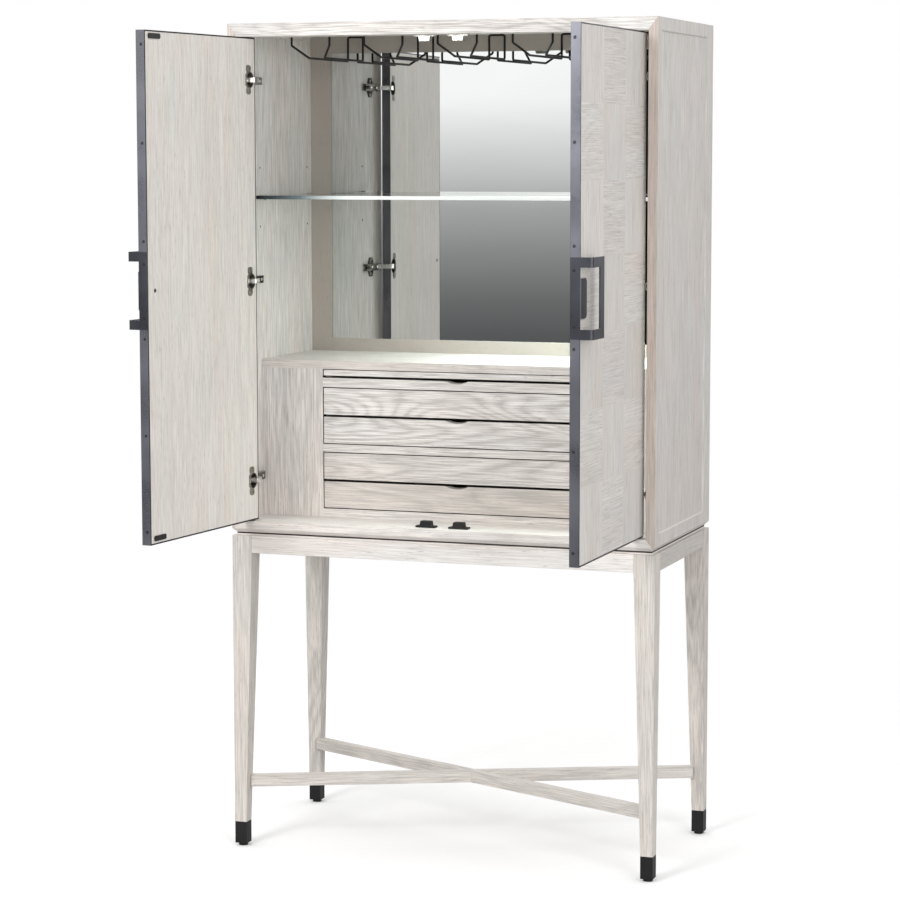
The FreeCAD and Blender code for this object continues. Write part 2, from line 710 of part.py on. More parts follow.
class Door:
    def __init__(self, name, hand):
        # hand is 1 for the left door, whose hinge edge is on its left, and -1 for the right one
        self.name = name
        self.hand = hand

    def u(self, text):
        return "%d * (%s - pivot_u)" % (self.hand, text)

    def v(self, text):
        return "%s - pivot_v" % text

    def span(self, first, last):
        return (self.u(first), self.u(last))

    def board(self, u, v, z):
        return board(self.span(*u), (self.v(v[0]), self.v(v[1])), z)

    def hang(self, thing, label):
        # puts a piece on the hinge axis, at the angle at which the door rests
        thing.Placement = FreeCAD.Placement(
            FreeCAD.Vector(0, 0, 0), FreeCAD.Rotation(FreeCAD.Vector(0, 0, 1), 0)
        )
        bind(thing, "Placement.Base.x", "%d * pivot_x" % -self.hand)
        bind(thing, "Placement.Base.y", from_front("pivot_v"))
        opening = "left_open" if self.hand > 0 else "right_open"
        bind(thing, "Placement.Rotation.Angle", "%d * %s" % (-self.hand, opening))
        return keep(thing, "%s_%s" % (self.name, label))

    def panel(self):
        # a veneered board with three blind bores for the hinge cups
        core = self.board(("strip", "door_wide - strip"), ("0", "door_thick"),
                          ("door_low + strip", "%s - strip" % DOOR_TOP))
        pocket(core, "XZ", self.v("(door_thick - cup_deep)"), "cup_deep + %d" % OVER, [],
               [(self.u("cup_u"), hinge) for hinge in HINGES], "cup_dia")
        self.hang(core, "panel")

    def edge_strips(self):
        # steel strips on all four edges, with a break for the handle plate
        v = ("0", "door_thick")
        top = DOOR_TOP
        strips = [
            self.board(("0", "strip"), v, ("door_low", top)),
            self.board(("strip", "door_wide - strip"), v, ("door_low", "door_low + strip")),
            self.board(("strip", "door_wide - strip"), v, ("%s - strip" % top, top)),
            self.board(("door_wide - strip", "door_wide"), v, ("door_low", HANDLE[0])),
            self.board(("door_wide - strip", "door_wide"), v, (HANDLE[1], top)),
        ]
        compound = doc.addObject("Part::Compound", "Strips")
        compound.Links = strips
        self.hang(compound, "edge_strips")

    def handle(self):
        # one plate bent from the edge of the door: a pull that stands off the face, and a tongue that lies on it
        body = new_body()
        outer = "door_wide"
        plate = "door_wide - handle_thick"
        bend = "handle_bend"
        rise = "-handle_out"
        pad(body, "XY", HANDLE[0], "handle_high", [[
            (self.u(plate), self.v("door_thick")), (self.u(outer), self.v("door_thick")),
            (self.u(outer), self.v("(%s + %s)" % (rise, bend))),
            (self.u("%s - %s * 0.3" % (outer, bend)), self.v("(%s + %s * 0.3)" % (rise, bend))),
            (self.u("%s - %s" % (outer, bend)), self.v(rise)),
            (self.u("handle_in"), self.v(rise)), (self.u("handle_in"), self.v("(%s + handle_thick)" % rise)),
            (self.u(plate + " - 2"), self.v("(%s + handle_thick)" % rise)),
            (self.u(plate), self.v("(%s + handle_thick + 2)" % rise)),
        ]])
        window = ("handle_mid - handle_high / 2 + handle_arm", "handle_mid + handle_high / 2 - handle_arm")
        pocket(body, "XY", window[0], "handle_high - 2 * handle_arm", [
            rectangle(self.span("handle_in + handle_bar", "door_wide + %d" % OVER),
                      (self.v("(-handle_out - %d)" % OVER), self.v("0")))
        ])
        tongue = ("handle_mid - tongue_high / 2", "handle_mid + tongue_high / 2")
        pad(body, "XY", tongue[0], "tongue_high", [[
            (self.u(plate), self.v("1")), (self.u(plate), self.v("0")), (self.u("tongue_in"), self.v("0")),
            (self.u("tongue_in"), self.v("-handle_thick")), (self.u(plate), self.v("-handle_thick")),
            (self.u(outer + " - 0.9"), self.v("(0.9 - handle_thick)")), (self.u(outer), self.v("0")),
            (self.u(outer), self.v("1")),
        ]])
        # the free corners of the tongue are cut off
        clip = "tongue_clip"
        corners = []
        for end, sign in ((tongue[0], "+"), (tongue[1], "-")):
            corners.append([(self.u("tongue_in"), end), (self.u("(tongue_in + %s)" % clip), end),
                            (self.u("tongue_in"), "%s %s %s" % (end, sign, clip))])
        pocket(body, "XZ", self.v("(-handle_thick - 1)"), "handle_thick + 2", corners)
        self.hang(body, "handle")

    def strike_plate(self, height):
        # a steel plate with cut corners, screwed to the inner face
        middle = "door_wide + 1 - catch_x"
        half = "strike_wide / 2"
        rise = "strike_high / 2"
        clip = "strike_high / 4"
        corners = []
        for across, up in ((1, 1), (-1, 1), (-1, -1), (1, -1)):
            side = (self.u("%s + %d * %s" % (middle, across, half)), "%s + %d * (%s - %s)" % (height, up, rise, clip))
            end = (self.u("%s + %d * (%s - %s)" % (middle, across, half, clip)), "%s + %d * %s" % (height, up, rise))
            corners += [side, end] if across * up > 0 else [end, side]
        plate = new_body()
        pad(plate, "XZ", self.v("door_thick"), "strike_thick", [corners])
        return plate

    def strike_plates(self):
        # each one is level with its catch
        compound = doc.addObject("Part::Compound", "Strikes")
        compound.Links = [
            self.strike_plate("carcass_low + board_thick + catch_high + strike_lift"),
            self.strike_plate("%s - catch_high + strike_lift" % LIP),
        ]
        self.hang(compound, "strike_plates")

    def wing(self, height):
        # the outline of the cup's wing: full width at the cup, then a neck and a clipped ear at each end
        middle = "cup_u + wing_shift"
        upper = [("wing_wide / 2", "wing_neck"), ("wing_neck / 2", "(wing_neck + 4)"),
                 ("wing_ear / 2", "(wing_neck + 7.5)"), ("wing_ear / 2", "(wing_high / 2 - 4)"),
                 ("(wing_ear / 2 - 4.5)", "wing_high / 2")]
        around = [(1, 1, upper), (-1, 1, upper[::-1]), (-1, -1, upper), (1, -1, upper[::-1])]
        return [
            (self.u("%s + %d * %s" % (middle, across, half)), "%s + %d * %s" % (height, up, rise))
            for across, up, corners in around for half, rise in corners
        ]

    def hinge_cup(self, height):
        # a pressed cup with its wing, and the pin that the arm turns on
        cup = new_body()
        centre = (self.u("cup_u"), height)
        pad(cup, "XZ", self.v("(door_thick - cup_deep)"), "cup_deep", [], [centre], "cup_dia")
        pad(cup, "XZ", self.v("door_thick"), "wing_thick", [self.wing(height)])
        pocket(cup, "XZ", self.v("(door_thick - cup_deep + cup_wall)"), "cup_deep + %d" % OVER, [], [centre],
               "cup_dia - 2 * cup_wall")
        half_pin = "sqrt((cup_dia / 2)^2 - (cup_u - pivot_u)^2) - cup_wall / 2"
        pad(cup, "XY", "%s - (%s)" % (height, half_pin), "2 * (%s)" % half_pin, [], [("0", "0")], "pin_dia")
        return cup

    def hinge_cups(self):
        compound = doc.addObject("Part::Compound", "Cups")
        compound.Links = [self.hinge_cup(height) for height in HINGES]
        self.hang(compound, "hinge_cups")

    def build(self):
        self.panel()
        self.edge_strips()
        self.handle()
        self.strike_plates()
        self.hinge_cups()


Door("door_left", 1).build()
Door("door_right", -1).build()


# Hinge arms and plates, fixed to the sides. Each arm is a flat gooseneck that leaves the cup,
# goes round the edge of the open door and ends in a body on the winged plate.

GOOSENECK = ((0, 0), (16.7, 4.3), (19.5, 15), (17, 22), (8, 27), (-11, 33.5))  # from the hinge axis
GOOSENECK_BENDS = (2.5, 5, 5, 6)


def gooseneck(hand):
    # the bent plate from the barrel to the body of the arm
    points = [FreeCAD.Vector(hand * x, y, 0) for x, y in GOOSENECK]
    edges = []
    start = points[0]
    for corner, after, bend in zip(points[1:], points[2:], GOOSENECK_BENDS):
        into = (corner - start).normalize()
        out_of = (after - corner).normalize()
        turn = into.getAngle(out_of)
        cut_back = bend * math.tan(turn / 2)
        first = corner - into * cut_back
        last = corner + out_of * cut_back
        to_centre = (out_of - into).normalize()
        middle = corner + to_centre * (bend / math.cos(turn / 2) - bend)
        edges.append(Part.LineSegment(start, first).toShape())
        edges.append(Part.Arc(first, middle, last).toShape())
        start = last
    edges.append(Part.LineSegment(start, points[-1]).toShape())
    along = (points[1] - points[0]).normalize()
    across = FreeCAD.Vector(-along.y, along.x, 0) * (cell("arm_thick") / 2)
    up = FreeCAD.Vector(0, 0, cell("arm_high") / 2)
    corners = [points[0] + across + up, points[0] - across + up, points[0] - across - up,
               points[0] + across - up, points[0] + across + up]
    return Part.Wire(edges).makePipeShell([Part.makePolygon(corners)], True, False)


def hinge_arm(hand, height):
    # everything here is measured from the hinge axis; the wall is pivot_x - inner half width away
    wall = cell("pivot_x") - (cell("half_width") - cell("side_thick"))
    seat = wall + cell("plate_thick")
    out = seat + cell("arm_body_out")
    front = cell("arm_body_front") - cell("pivot_v")
    back = cell("arm_body_back") - cell("pivot_v")
    tall = cell("arm_body_high")
    nose, brow, heel, tail = 4, 9, 5, 14
    body_outline = [(seat, front + nose), (seat + nose, front), (out - nose, front + nose / 2), (out, front + brow),
                    (out, back - tail), (out - heel, back), (seat, back)]
    points = [FreeCAD.Vector(hand * x, y, -tall / 2) for x, y in body_outline]
    body = Part.Face(Part.makePolygon(points + points[:1])).extrude(FreeCAD.Vector(0, 0, tall))
    fork = Part.makeBox(2 * cell("arm_body_out") + 20, cell("fork_deep") + OVER, cell("fork_wide"))
    fork.translate(FreeCAD.Vector(-abs(out) - 20, back - cell("fork_deep"), -cell("fork_wide") / 2))
    if hand < 0:
        fork = fork.mirror(FreeCAD.Vector(0, 0, 0), FreeCAD.Vector(1, 0, 0))
    arm = gooseneck(hand).fuse(body.cut(fork))
    barrel = Part.makeCylinder(cell("barrel_dia") / 2, cell("arm_high"),
                               FreeCAD.Vector(0, 0, -cell("arm_high") / 2))
    bore = Part.makeCylinder(cell("barrel_bore") / 2, cell("arm_high") + 2,
                             FreeCAD.Vector(0, 0, -cell("arm_high") / 2 - 1))
    arm = arm.fuse(barrel).cut(bore).removeSplitter()
    arm.translate(FreeCAD.Vector(-hand * cell("pivot_x"), cell("front_y") + cell("pivot_v"), cell(height)))
    return arm


def hinge_plate(hand, height):
    # a plate on the side wall with a wing above and below the arm
    body = new_body()
    wall = "-(half_width - side_thick)" if hand > 0 else "half_width - side_thick - plate_thick"
    middle = from_front("plate_mid")
    half = "plate_wide / 2"
    waist = "arm_body_high / 2"
    front = from_front("(arm_body_front + 6)")
    back = from_front("(arm_body_back - 16)")
    tip = "plate_high / 2"
    pad(body, "YZ", wall, "plate_thick", [[
        (front, "%s - %s" % (height, waist)), ("%s - %s" % (middle, half), "%s - %s" % (height, waist)),
        ("%s - %s / 2" % (middle, half), "%s - %s" % (height, tip)),
        ("%s + %s / 2" % (middle, half), "%s - %s" % (height, tip)),
        ("%s + %s" % (middle, half), "%s - %s" % (height, waist)), (back, "%s - %s" % (height, waist)),
        (back, "%s + %s" % (height, waist)), ("%s + %s" % (middle, half), "%s + %s" % (height, waist)),
        ("%s + %s / 2" % (middle, half), "%s + %s" % (height, tip)),
        ("%s - %s / 2" % (middle, half), "%s + %s" % (height, tip)),
        ("%s - %s" % (middle, half), "%s + %s" % (height, waist)), (front, "%s + %s" % (height, waist)),
    ]])
    return body


arms = doc.addObject("Part::Feature", "Arms")
arms.Shape = Part.makeCompound([hinge_arm(hand, height) for hand in (1, -1) for height in HINGES])
keep(arms, "hinge_arms")
group("hinge_plates", [hinge_plate(hand, height) for hand in (1, -1) for height in HINGES])


# Checks, then one file for each sub-part.

doc.recompute()
failed = [thing.Name for thing in doc.Objects if "Invalid" in thing.State or "Error" in thing.State]
if failed:
    raise RuntimeError("these features failed: %s" % failed)
for thing in SUBPARTS:
    shape = thing.Shape
    if shape.isNull() or not shape.isValid() or not shape.Solids:
        raise RuntimeError("%s has no valid solid" % thing.Label)
    shape.exportStep(os.path.join("parts", thing.Label + ".step"))
    box = shape.BoundBox
    print("%-34s %2d solids %11.1f mm3  x %7.1f %7.1f  y %7.1f %7.1f  z %7.1f %7.1f" % (
        thing.Label, len(shape.Solids), shape.Volume,
        box.XMin, box.XMax, box.YMin, box.YMax, box.ZMin, box.ZMax))
print(len(SUBPARTS), "sub-parts")
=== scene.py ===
import math

import bmesh
import bpy
from mathutils import Matrix, Vector


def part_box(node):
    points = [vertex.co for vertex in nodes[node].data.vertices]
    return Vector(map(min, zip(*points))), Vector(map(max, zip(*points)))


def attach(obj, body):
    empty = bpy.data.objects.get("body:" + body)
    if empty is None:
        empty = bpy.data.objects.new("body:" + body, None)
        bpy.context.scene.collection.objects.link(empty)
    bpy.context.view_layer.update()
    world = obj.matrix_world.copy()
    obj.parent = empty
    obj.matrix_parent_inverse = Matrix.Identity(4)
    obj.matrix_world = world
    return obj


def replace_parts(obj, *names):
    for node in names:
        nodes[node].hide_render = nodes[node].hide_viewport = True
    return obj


# Drinks cabinet on a stand, in limed oak with dark steel edges.
# Metres; X to the right, Y to the back, Z up.

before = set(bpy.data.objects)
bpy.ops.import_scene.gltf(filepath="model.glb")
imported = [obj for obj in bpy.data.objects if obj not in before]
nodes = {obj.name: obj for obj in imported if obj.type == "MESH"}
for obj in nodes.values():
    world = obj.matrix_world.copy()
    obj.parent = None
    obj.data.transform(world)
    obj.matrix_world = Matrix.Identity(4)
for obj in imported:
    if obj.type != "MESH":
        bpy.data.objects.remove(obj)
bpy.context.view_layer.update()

# Stand: four tapered legs, four aprons and two stretchers halved into each other.
# Solid oak, wire-brushed, with white wax rubbed into the open grain, mortised and glued.
# The eye sees pale boards with fine grey streaks, a few warmer bands and short dark pores.

# tints of the boards, from the palest to the one inside the drawers
PALEST = "FBF9F6"
PALE = "F5F2EF"
LIMED = "F1EFEC"
STAND = "E6E1DA"
SHADED = "CDC9C4"
INSIDE = "CFC7BC"

# colours that lie on the boards and in their grain
WHITE = "FFFFFF"
WARM = "F2E1D8"
COOL = "E6F0F4"
STREAK = "B4AFAA"
PORE = "8C8884"
# painted shade, for the insides of joints and holes
GAP_SHADE = "2A2826"
LIPPING = "F5E9E1"

# how many grains of each pattern fit in a metre, along the board and across it
WARM_PATCH = (1.3, 14.0, 14.0)
COOL_PATCH = (3.0, 11.0, 11.0)
SWAY = (3.0, 10.0, 10.0)
FIBRE = (11.0, 620.0, 620.0)
BAND = (1.6, 110.0, 110.0)
RING = (1.3, 9.0, 9.0)
VESSEL = (40.0, 640.0, 640.0)

# the noise between which each pattern grows to its full strength, and that strength
WARM_SPAN, WARM_SHARE = (0.4, 0.65), (0.1, 0.4)
COOL_SPAN, COOL_SHARE = (0.45, 0.7), (0.0, 0.3)
FIBRE_SPAN, FIBRE_SHARE = (0.36, 0.66), 0.8
BAND_SPAN, BAND_SHARE = (0.45, 0.75), 0.12
RING_SPAN, RING_SHARE = (0.35, 0.6), 0.5
PORE_SPAN, PORE_SHARE = (0.64, 0.74), 0.45
STREAK_LIMIT = 0.9
LIPPING_SHARE = 0.8

# a ring's strength where the fibres are pale and where they are dark, and how many rings there are
RING_FAINT, RING_BOLD = 0.5, 1.2
RING_COUNT = 44.0
SWAY_REACH = 0.008

# each board is cut from its own place in the tree, and so is each block of a door's veneer
PLACE_SHARES = (1.0, 0.37, 0.61)
UPRIGHT_SHIFT = 3.1
BLOCK_SHIFT = 5.3
BLOCK_JUMP = 9.0
BLOCK_TONES = (0.95, 1.03)
OUTER_TONE = 0.87
INNER_TONE = 0.99

# nearly all values of a noise lie in this range
MOST_NOISE = (0.3, 0.7)

FRONT_Y = -0.2275
LIPPING_BACK = FRONT_Y + 0.0005
EDGE_DEPTH = 0.0004
GRAIN_TURNS = {"x": (0, 0, 0), "y": (0, 0, -math.pi / 2), "z": (0, math.pi / 2, 0)}


def linear(code):
    # an sRGB colour, written as six hex digits, as the linear colour that a shader takes
    def channel(value):
        return value / 12.92 if value <= 0.04045 else ((value + 0.055) / 1.055) ** 2.4

    return tuple(channel(int(code[i:i + 2], 16) / 255) for i in (0, 2, 4)) + (1.0,)


def add(tree, kind, inputs=None, **settings):
    # adds a node; inputs maps a socket's name or number to a value or to another node's output
    made = tree.nodes.new(kind)
    for name, value in settings.items():
        setattr(made, name, value)
    for socket, value in (inputs or {}).items():
        if isinstance(value, bpy.types.NodeSocket):
            tree.links.new(value, made.inputs[socket])
        else:
            made.inputs[socket].default_value = value
    return made


def maths(tree, operation, *values):
    return add(tree, "ShaderNodeMath", dict(enumerate(values)), operation=operation).outputs[0]


def spread(tree, value, low, high, to_low=0.0, to_high=1.0):
    # stretches a value from one range to another, and stops at its ends
    inputs = {0: value, 1: low, 2: high, 3: to_low, 4: to_high}
    return add(tree, "ShaderNodeMapRange", inputs).outputs[0]


def blend(tree, factor, first, second, mode="MIX"):
    inputs = {0: factor, 6: first, 7: second}
    return add(tree, "ShaderNodeMix", inputs, data_type="RGBA", blend_type=mode).outputs[2]


def either(tree, mask, first, second):
    return add(tree, "ShaderNodeMix", {0: mask, 4: first, 5: second}, data_type="VECTOR").outputs[1]


def triple(tree, value):
    return add(tree, "ShaderNodeCombineXYZ", {0: value, 1: value, 2: value}).outputs[0]


def axes(tree, place):
    return add(tree, "ShaderNodeSeparateXYZ", {0: place}).outputs


def moved(tree, place, shift):
    return add(tree, "ShaderNodeVectorMath", {0: place, 1: shift}, operation="ADD").outputs[0]


def object_place(tree, seat=None):
    # where on the object a point is; seat carries a part that stands at an angle back to the square
    place = add(tree, "ShaderNodeTexCoord").outputs["Object"]
    if seat:
        shift, turn = seat
        place = add(tree, "ShaderNodeMapping", {0: place, 1: shift, 2: turn}).outputs[0]
    return place


def noise(tree, place, stretch, detail=2.0, distortion=0.0):
    # noise whose grains are 1 / stretch metres long on each axis
    scaled = add(tree, "ShaderNodeMapping", {0: place, 3: stretch}).outputs[0]
    inputs = {"Vector": scaled, "Scale": 1.0, "Detail": detail, "Distortion": distortion}
    return add(tree, "ShaderNodeTexNoise", inputs).outputs[0]


def relief(tree, height, arris, strength, depth):
    # bumps that follow a height, on a surface whose arrises are rounded
    eased = add(tree, "ShaderNodeBevel", {"Radius": arris}, samples=4).outputs[0]
    inputs = {"Strength": strength, "Distance": depth, "Height": height, "Normal": eased}
    return add(tree, "ShaderNodeBump", inputs).outputs[0]


def new_material(name):
    made = bpy.data.materials.new(name)
    made.use_nodes = True
    made.node_tree.nodes.clear()
    return made, made.node_tree


def finish_material(tree, shader):
    add(tree, "ShaderNodeOutputMaterial", {0: shader})


def dress(material, *names):
    # gives CAD nodes their material
    for name in names:
        for slot in nodes[name].material_slots:
            slot.material = material


def laid(tree, place, grain, seed):
    # the place on a board whose grain runs along the axis named by grain
    shift = tuple(seed * share for share in PLACE_SHARES)
    return add(tree, "ShaderNodeMapping", {0: place, 1: shift, 2: GRAIN_TURNS[grain]}).outputs[0]


def veneer_blocks(tree, place, board, seed, blocks):
    # the outer face is laid with blocks of veneer that turn by a quarter from one to the next
    x, y, z = axes(tree, place)
    across = maths(tree, "SUBTRACT", maths(tree, "ABSOLUTE", x), blocks["edge"])
    above = maths(tree, "SUBTRACT", z, blocks["foot"])
    column = maths(tree, "FLOOR", maths(tree, "DIVIDE", across, blocks["wide"]))
    row = maths(tree, "FLOOR", maths(tree, "DIVIDE", above, blocks["high"]))
    outer = maths(tree, "LESS_THAN", y, blocks["face"])
    odd = maths(tree, "PINGPONG", maths(tree, "ADD", column, row), 1.0)
    number = add(tree, "ShaderNodeCombineXYZ", {0: column, 1: row}).outputs[0]
    chance = add(tree, "ShaderNodeTexWhiteNoise", {"Vector": number}, noise_dimensions="3D").outputs[0]
    lying = laid(tree, place, "x", seed + BLOCK_SHIFT)
    board = either(tree, maths(tree, "MULTIPLY", odd, outer), board, lying)
    # every block is cut from another leaf, so its figure jumps and its tone differs a little
    jump = maths(tree, "MULTIPLY", maths(tree, "MULTIPLY", chance, BLOCK_JUMP), outer)
    outer_tone = maths(tree, "MULTIPLY", spread(tree, chance, 0.0, 1.0, *BLOCK_TONES), OUTER_TONE)
    return moved(tree, board, triple(tree, jump)), spread(tree, outer, 0.0, 1.0, INNER_TONE, outer_tone)


def limed_grain(tree, board, tint, figure, contrast):
    # the colour of limed wood, with the fibres and the pores that its surface follows too
    warm = noise(tree, board, WARM_PATCH, 3.0)
    cool = noise(tree, board, COOL_PATCH)
    # the fibres wander a few millimetres to either side on their way along the board
    sway = maths(tree, "MULTIPLY", noise(tree, board, SWAY), SWAY_REACH)
    board = moved(tree, board, add(tree, "ShaderNodeCombineXYZ", {1: sway, 2: sway}).outputs[0])
    fibres = noise(tree, board, FIBRE, 4.0)
    bands = noise(tree, board, BAND, 3.0, 0.4)
    pores = spread(tree, noise(tree, board, VESSEL, 1.0), *PORE_SPAN)
    rings = maths(tree, "MULTIPLY", noise(tree, board, RING, 1.0, 0.3), RING_COUNT)
    rings = maths(tree, "POWER", maths(tree, "PINGPONG", rings, 1.0), 2.0)
    boldness = spread(tree, fibres, *RING_SPAN, RING_FAINT * figure, RING_BOLD * figure)
    rings = maths(tree, "MULTIPLY", rings, boldness)

    streaks = maths(tree, "ADD", spread(tree, fibres, *FIBRE_SPAN, 0.0, FIBRE_SHARE * contrast),
                    spread(tree, bands, *BAND_SPAN, 0.0, BAND_SHARE * contrast))
    streaks = maths(tree, "ADD", streaks, maths(tree, "MULTIPLY", rings, RING_SHARE * contrast))
    colour = blend(tree, spread(tree, warm, *WARM_SPAN, *WARM_SHARE), linear(WHITE), linear(WARM))
    colour = blend(tree, spread(tree, cool, *COOL_SPAN, *COOL_SHARE), colour, linear(COOL))
    colour = blend(tree, 1.0, colour, linear(tint), "MULTIPLY")
    colour = blend(tree, maths(tree, "MINIMUM", streaks, STREAK_LIMIT), colour, linear(STREAK))
    colour = blend(tree, maths(tree, "MULTIPLY", pores, PORE_SHARE), colour, linear(PORE))
    return colour, fibres, pores


def shade_in_box(tree, place, colour, box):
    # painted shade: the wood is dark inside a box, given as its two corners
    inside = 1.0
    for value, start, end in zip(axes(tree, place), *box):
        within = maths(tree, "COMPARE", value, (start + end) / 2, (end - start) / 2)
        inside = maths(tree, "MULTIPLY", inside, within)
    return blend(tree, inside, colour, linear(GAP_SHADE))


def limed_oak(name, grain, seed, tint=LIMED, figure=0.5, contrast=1.0, seat=None, upright_beyond=None,
              blocks=None, gaps=(), lipped=False):
    # grain: the axis that the boards run along; seed: the place in the tree that they come from
    # figure: the strength of a slab-sawn board's wide rings; contrast: that of all its streaks
    # seat: what carries a part that stands at an angle back to the square
    # upright_beyond: how far from the middle the boards begin to stand upright
    # blocks: the sizes of the veneer blocks on an outer face
    # gaps: boxes inside which the boards carry painted shade, as at their edges in a joint
    # lipped: whether there is a lipping of warmer oak along the front edge
    made, tree = new_material(name)
    place = object_place(tree, seat)
    board = laid(tree, place, grain, seed)
    if upright_beyond:
        from_middle = maths(tree, "ABSOLUTE", axes(tree, place)[0])
        outside = maths(tree, "GREATER_THAN", from_middle, upright_beyond)
        board = either(tree, outside, board, laid(tree, place, "z", seed + UPRIGHT_SHIFT))
    if blocks:
        board, tone = veneer_blocks(tree, place, board, seed, blocks)
    colour, fibres, pores = limed_grain(tree, board, tint, figure, contrast)
    if blocks:
        colour = blend(tree, 1.0, colour, triple(tree, tone), "MULTIPLY")
    if lipped:
        warmer = blend(tree, LIPPING_SHARE, colour, linear(LIPPING), "MULTIPLY")
        colour = blend(tree, maths(tree, "LESS_THAN", axes(tree, place)[1], LIPPING_BACK), colour, warmer)
    for box in gaps:
        colour = shade_in_box(tree, place, colour, box)

    height = maths(tree, "SUBTRACT", maths(tree, "MULTIPLY", fibres, 0.5), pores)
    wood = add(tree, "ShaderNodeBsdfPrincipled", {
        "Base Color": colour,
        "Roughness": spread(tree, fibres, 0.3, 0.8, 0.46, 0.62),
        "Specular IOR Level": 0.35,
        "Normal": relief(tree, height, arris=0.0012, strength=0.25, depth=0.0004),
    })
    finish_material(tree, wood.outputs[0])
    return made


LEG_RINGS = {"front_left": 0.3, "front_right": 0.3, "back_left": 1.1, "back_right": 0.9}
for number, (leg, rings) in enumerate(LEG_RINGS.items()):
    dress(limed_oak("leg_oak_" + leg, "z", 1.0 + number, tint=STAND, figure=rings), "leg_" + leg)
dress(limed_oak("front_apron_oak", "x", 6.0, tint=PALE, contrast=0.6), "apron_front")
dress(limed_oak("back_apron_oak", "x", 7.0, tint=STAND), "apron_back")
dress(limed_oak("side_apron_oak", "y", 8.0, tint=SHADED), "aprons_side")

# the stretchers cross the stand from leg to leg, so their grain runs along each diagonal
STRETCHER_WIDE, STRETCHER_DEEP = 0.448, 0.2005
DIAGONAL = math.atan2(STRETCHER_DEEP, STRETCHER_WIDE)
for side, seed, turn in (("left", 9.0, -DIAGONAL), ("right", 10.0, DIAGONAL)):
    oak = limed_oak(side + "_stretcher_oak", "x", seed, tint=STAND, seat=((0, 0, 0), (0, 0, turn)))
    dress(oak, "cross_stretcher_front_" + side)

# Ferrules and glides: a pressed steel cup over each foot, and a moulded glide that screws up into it.
# The cup has a black powder coat, the glide is black nylon.
# The coat is satin with a fine orange peel; the nylon is duller and a little scuffed underneath.

POWDER_BLACK = "161617"
NYLON_BLACK = "141415"
CLOUD = (9.0, 9.0, 9.0)
CLOUD_SPAN = (0.35, 0.7)

# painted shade: the doors' steel strips are darker on the two faces of a door than on its edges
STRIP_FACE_SHADE = "2B2B2E"
STRIP_MIDDLE = FRONT_Y + 0.010
STRIP_HALF = 0.0097


def rubbed_tint(tint):
    # the tint where the coat is worn a little lighter
    return tuple(1.35 * value + 0.004 for value in linear(tint)[:3]) + (1.0,)


def coated_metal(name, tint, roughness, grit, metal=0.0, level=0.5, seat=None):
    # a thin coat: colour and shine drift slowly, and the orange peel's bumps are 1 / grit metres wide
    # seat carries a hung door's coordinates shut; with one, painted shade darkens the coat on the door's
    # two faces
    made, tree = new_material(name)
    place = object_place(tree)
    cloud = noise(tree, place, CLOUD, 3.0)
    peel = noise(tree, place, (grit, grit, grit))
    colour = blend(tree, spread(tree, cloud, *CLOUD_SPAN), linear(tint), rubbed_tint(tint))
    if seat:
        depth = axes(tree, object_place(tree, seat))[1]
        from_middle = maths(tree, "ABSOLUTE", maths(tree, "SUBTRACT", depth, STRIP_MIDDLE))
        on_face = maths(tree, "GREATER_THAN", from_middle, STRIP_HALF)
        colour = blend(tree, on_face, colour, linear(STRIP_FACE_SHADE))
    shine = maths(tree, "ADD", spread(tree, cloud, *MOST_NOISE, roughness - 0.05, roughness + 0.05),
                  spread(tree, peel, 0.4, 0.6, -0.03, 0.03))
    coat = add(tree, "ShaderNodeBsdfPrincipled", {
        "Base Color": colour,
        "Roughness": shine,
        "Metallic": metal,
        "Specular IOR Level": level,
        "Normal": relief(tree, peel, arris=0.0005, strength=0.2, depth=0.0001),
    })
    finish_material(tree, coat.outputs[0])
    return made


black_coat = coated_metal("black_powder_coat", POWDER_BLACK, roughness=0.42, grit=1500.0, level=0.3)
black_nylon = coated_metal("black_nylon", NYLON_BLACK, roughness=0.55, grit=700.0, level=0.3)
dress(black_coat, "leg_ferrules")
dress(black_nylon, *["levelling_glide_" + leg for leg in LEG_RINGS])

# Stand top: a thin board between the stand and the carcass, of which only the edge shows.
# Limed oak, screwed down on the aprons; the upper part of its edge carries a painted shadow, the shade of
# the gap under the carcass.
# The joint reads as one thin dark line of painted shadow above a narrow step.

JOINT_SHADOW_HIGH = 0.0035
low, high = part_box("stand_top")
joint = ((low.x - EDGE_DEPTH, low.y - EDGE_DEPTH, high.z - JOINT_SHADOW_HIGH),
         (high.x + EDGE_DEPTH, high.y + EDGE_DEPTH, high.z + EDGE_DEPTH))
dress(limed_oak("stand_top_oak", "x", 11.0, tint=PALEST, figure=0.2, gaps=[joint]), "stand_top")

# Carcass: sides with a shallow panel, top and bottom boards, and the back.
# Veneered boards with limed oak lippings, glued up; the back is thinner and slides in a groove.
# The sides are upright grain, quieter than the slab-sawn top and bottom edges.

WALL_INSIDE = 0.455
PEG_DEEP = 0.010
PEG_HALF = 0.0027
PEG_DEPTHS = (0.122, 0.390)
PEG_HEIGHTS = (1.356, 1.420, 1.484)


def peg_holes(hand):
    # the six holes for the shelf's pegs, as boxes that begin just under the wall's face, so that their
    # walls carry painted shade
    start, end = sorted((hand * (WALL_INSIDE + EDGE_DEPTH), hand * (WALL_INSIDE + PEG_DEEP)))
    centres = [(FRONT_Y + depth, height) for depth in PEG_DEPTHS for height in PEG_HEIGHTS]
    return [((start, y - PEG_HALF, z - PEG_HALF), (end, y + PEG_HALF, z + PEG_HALF)) for y, z in centres]
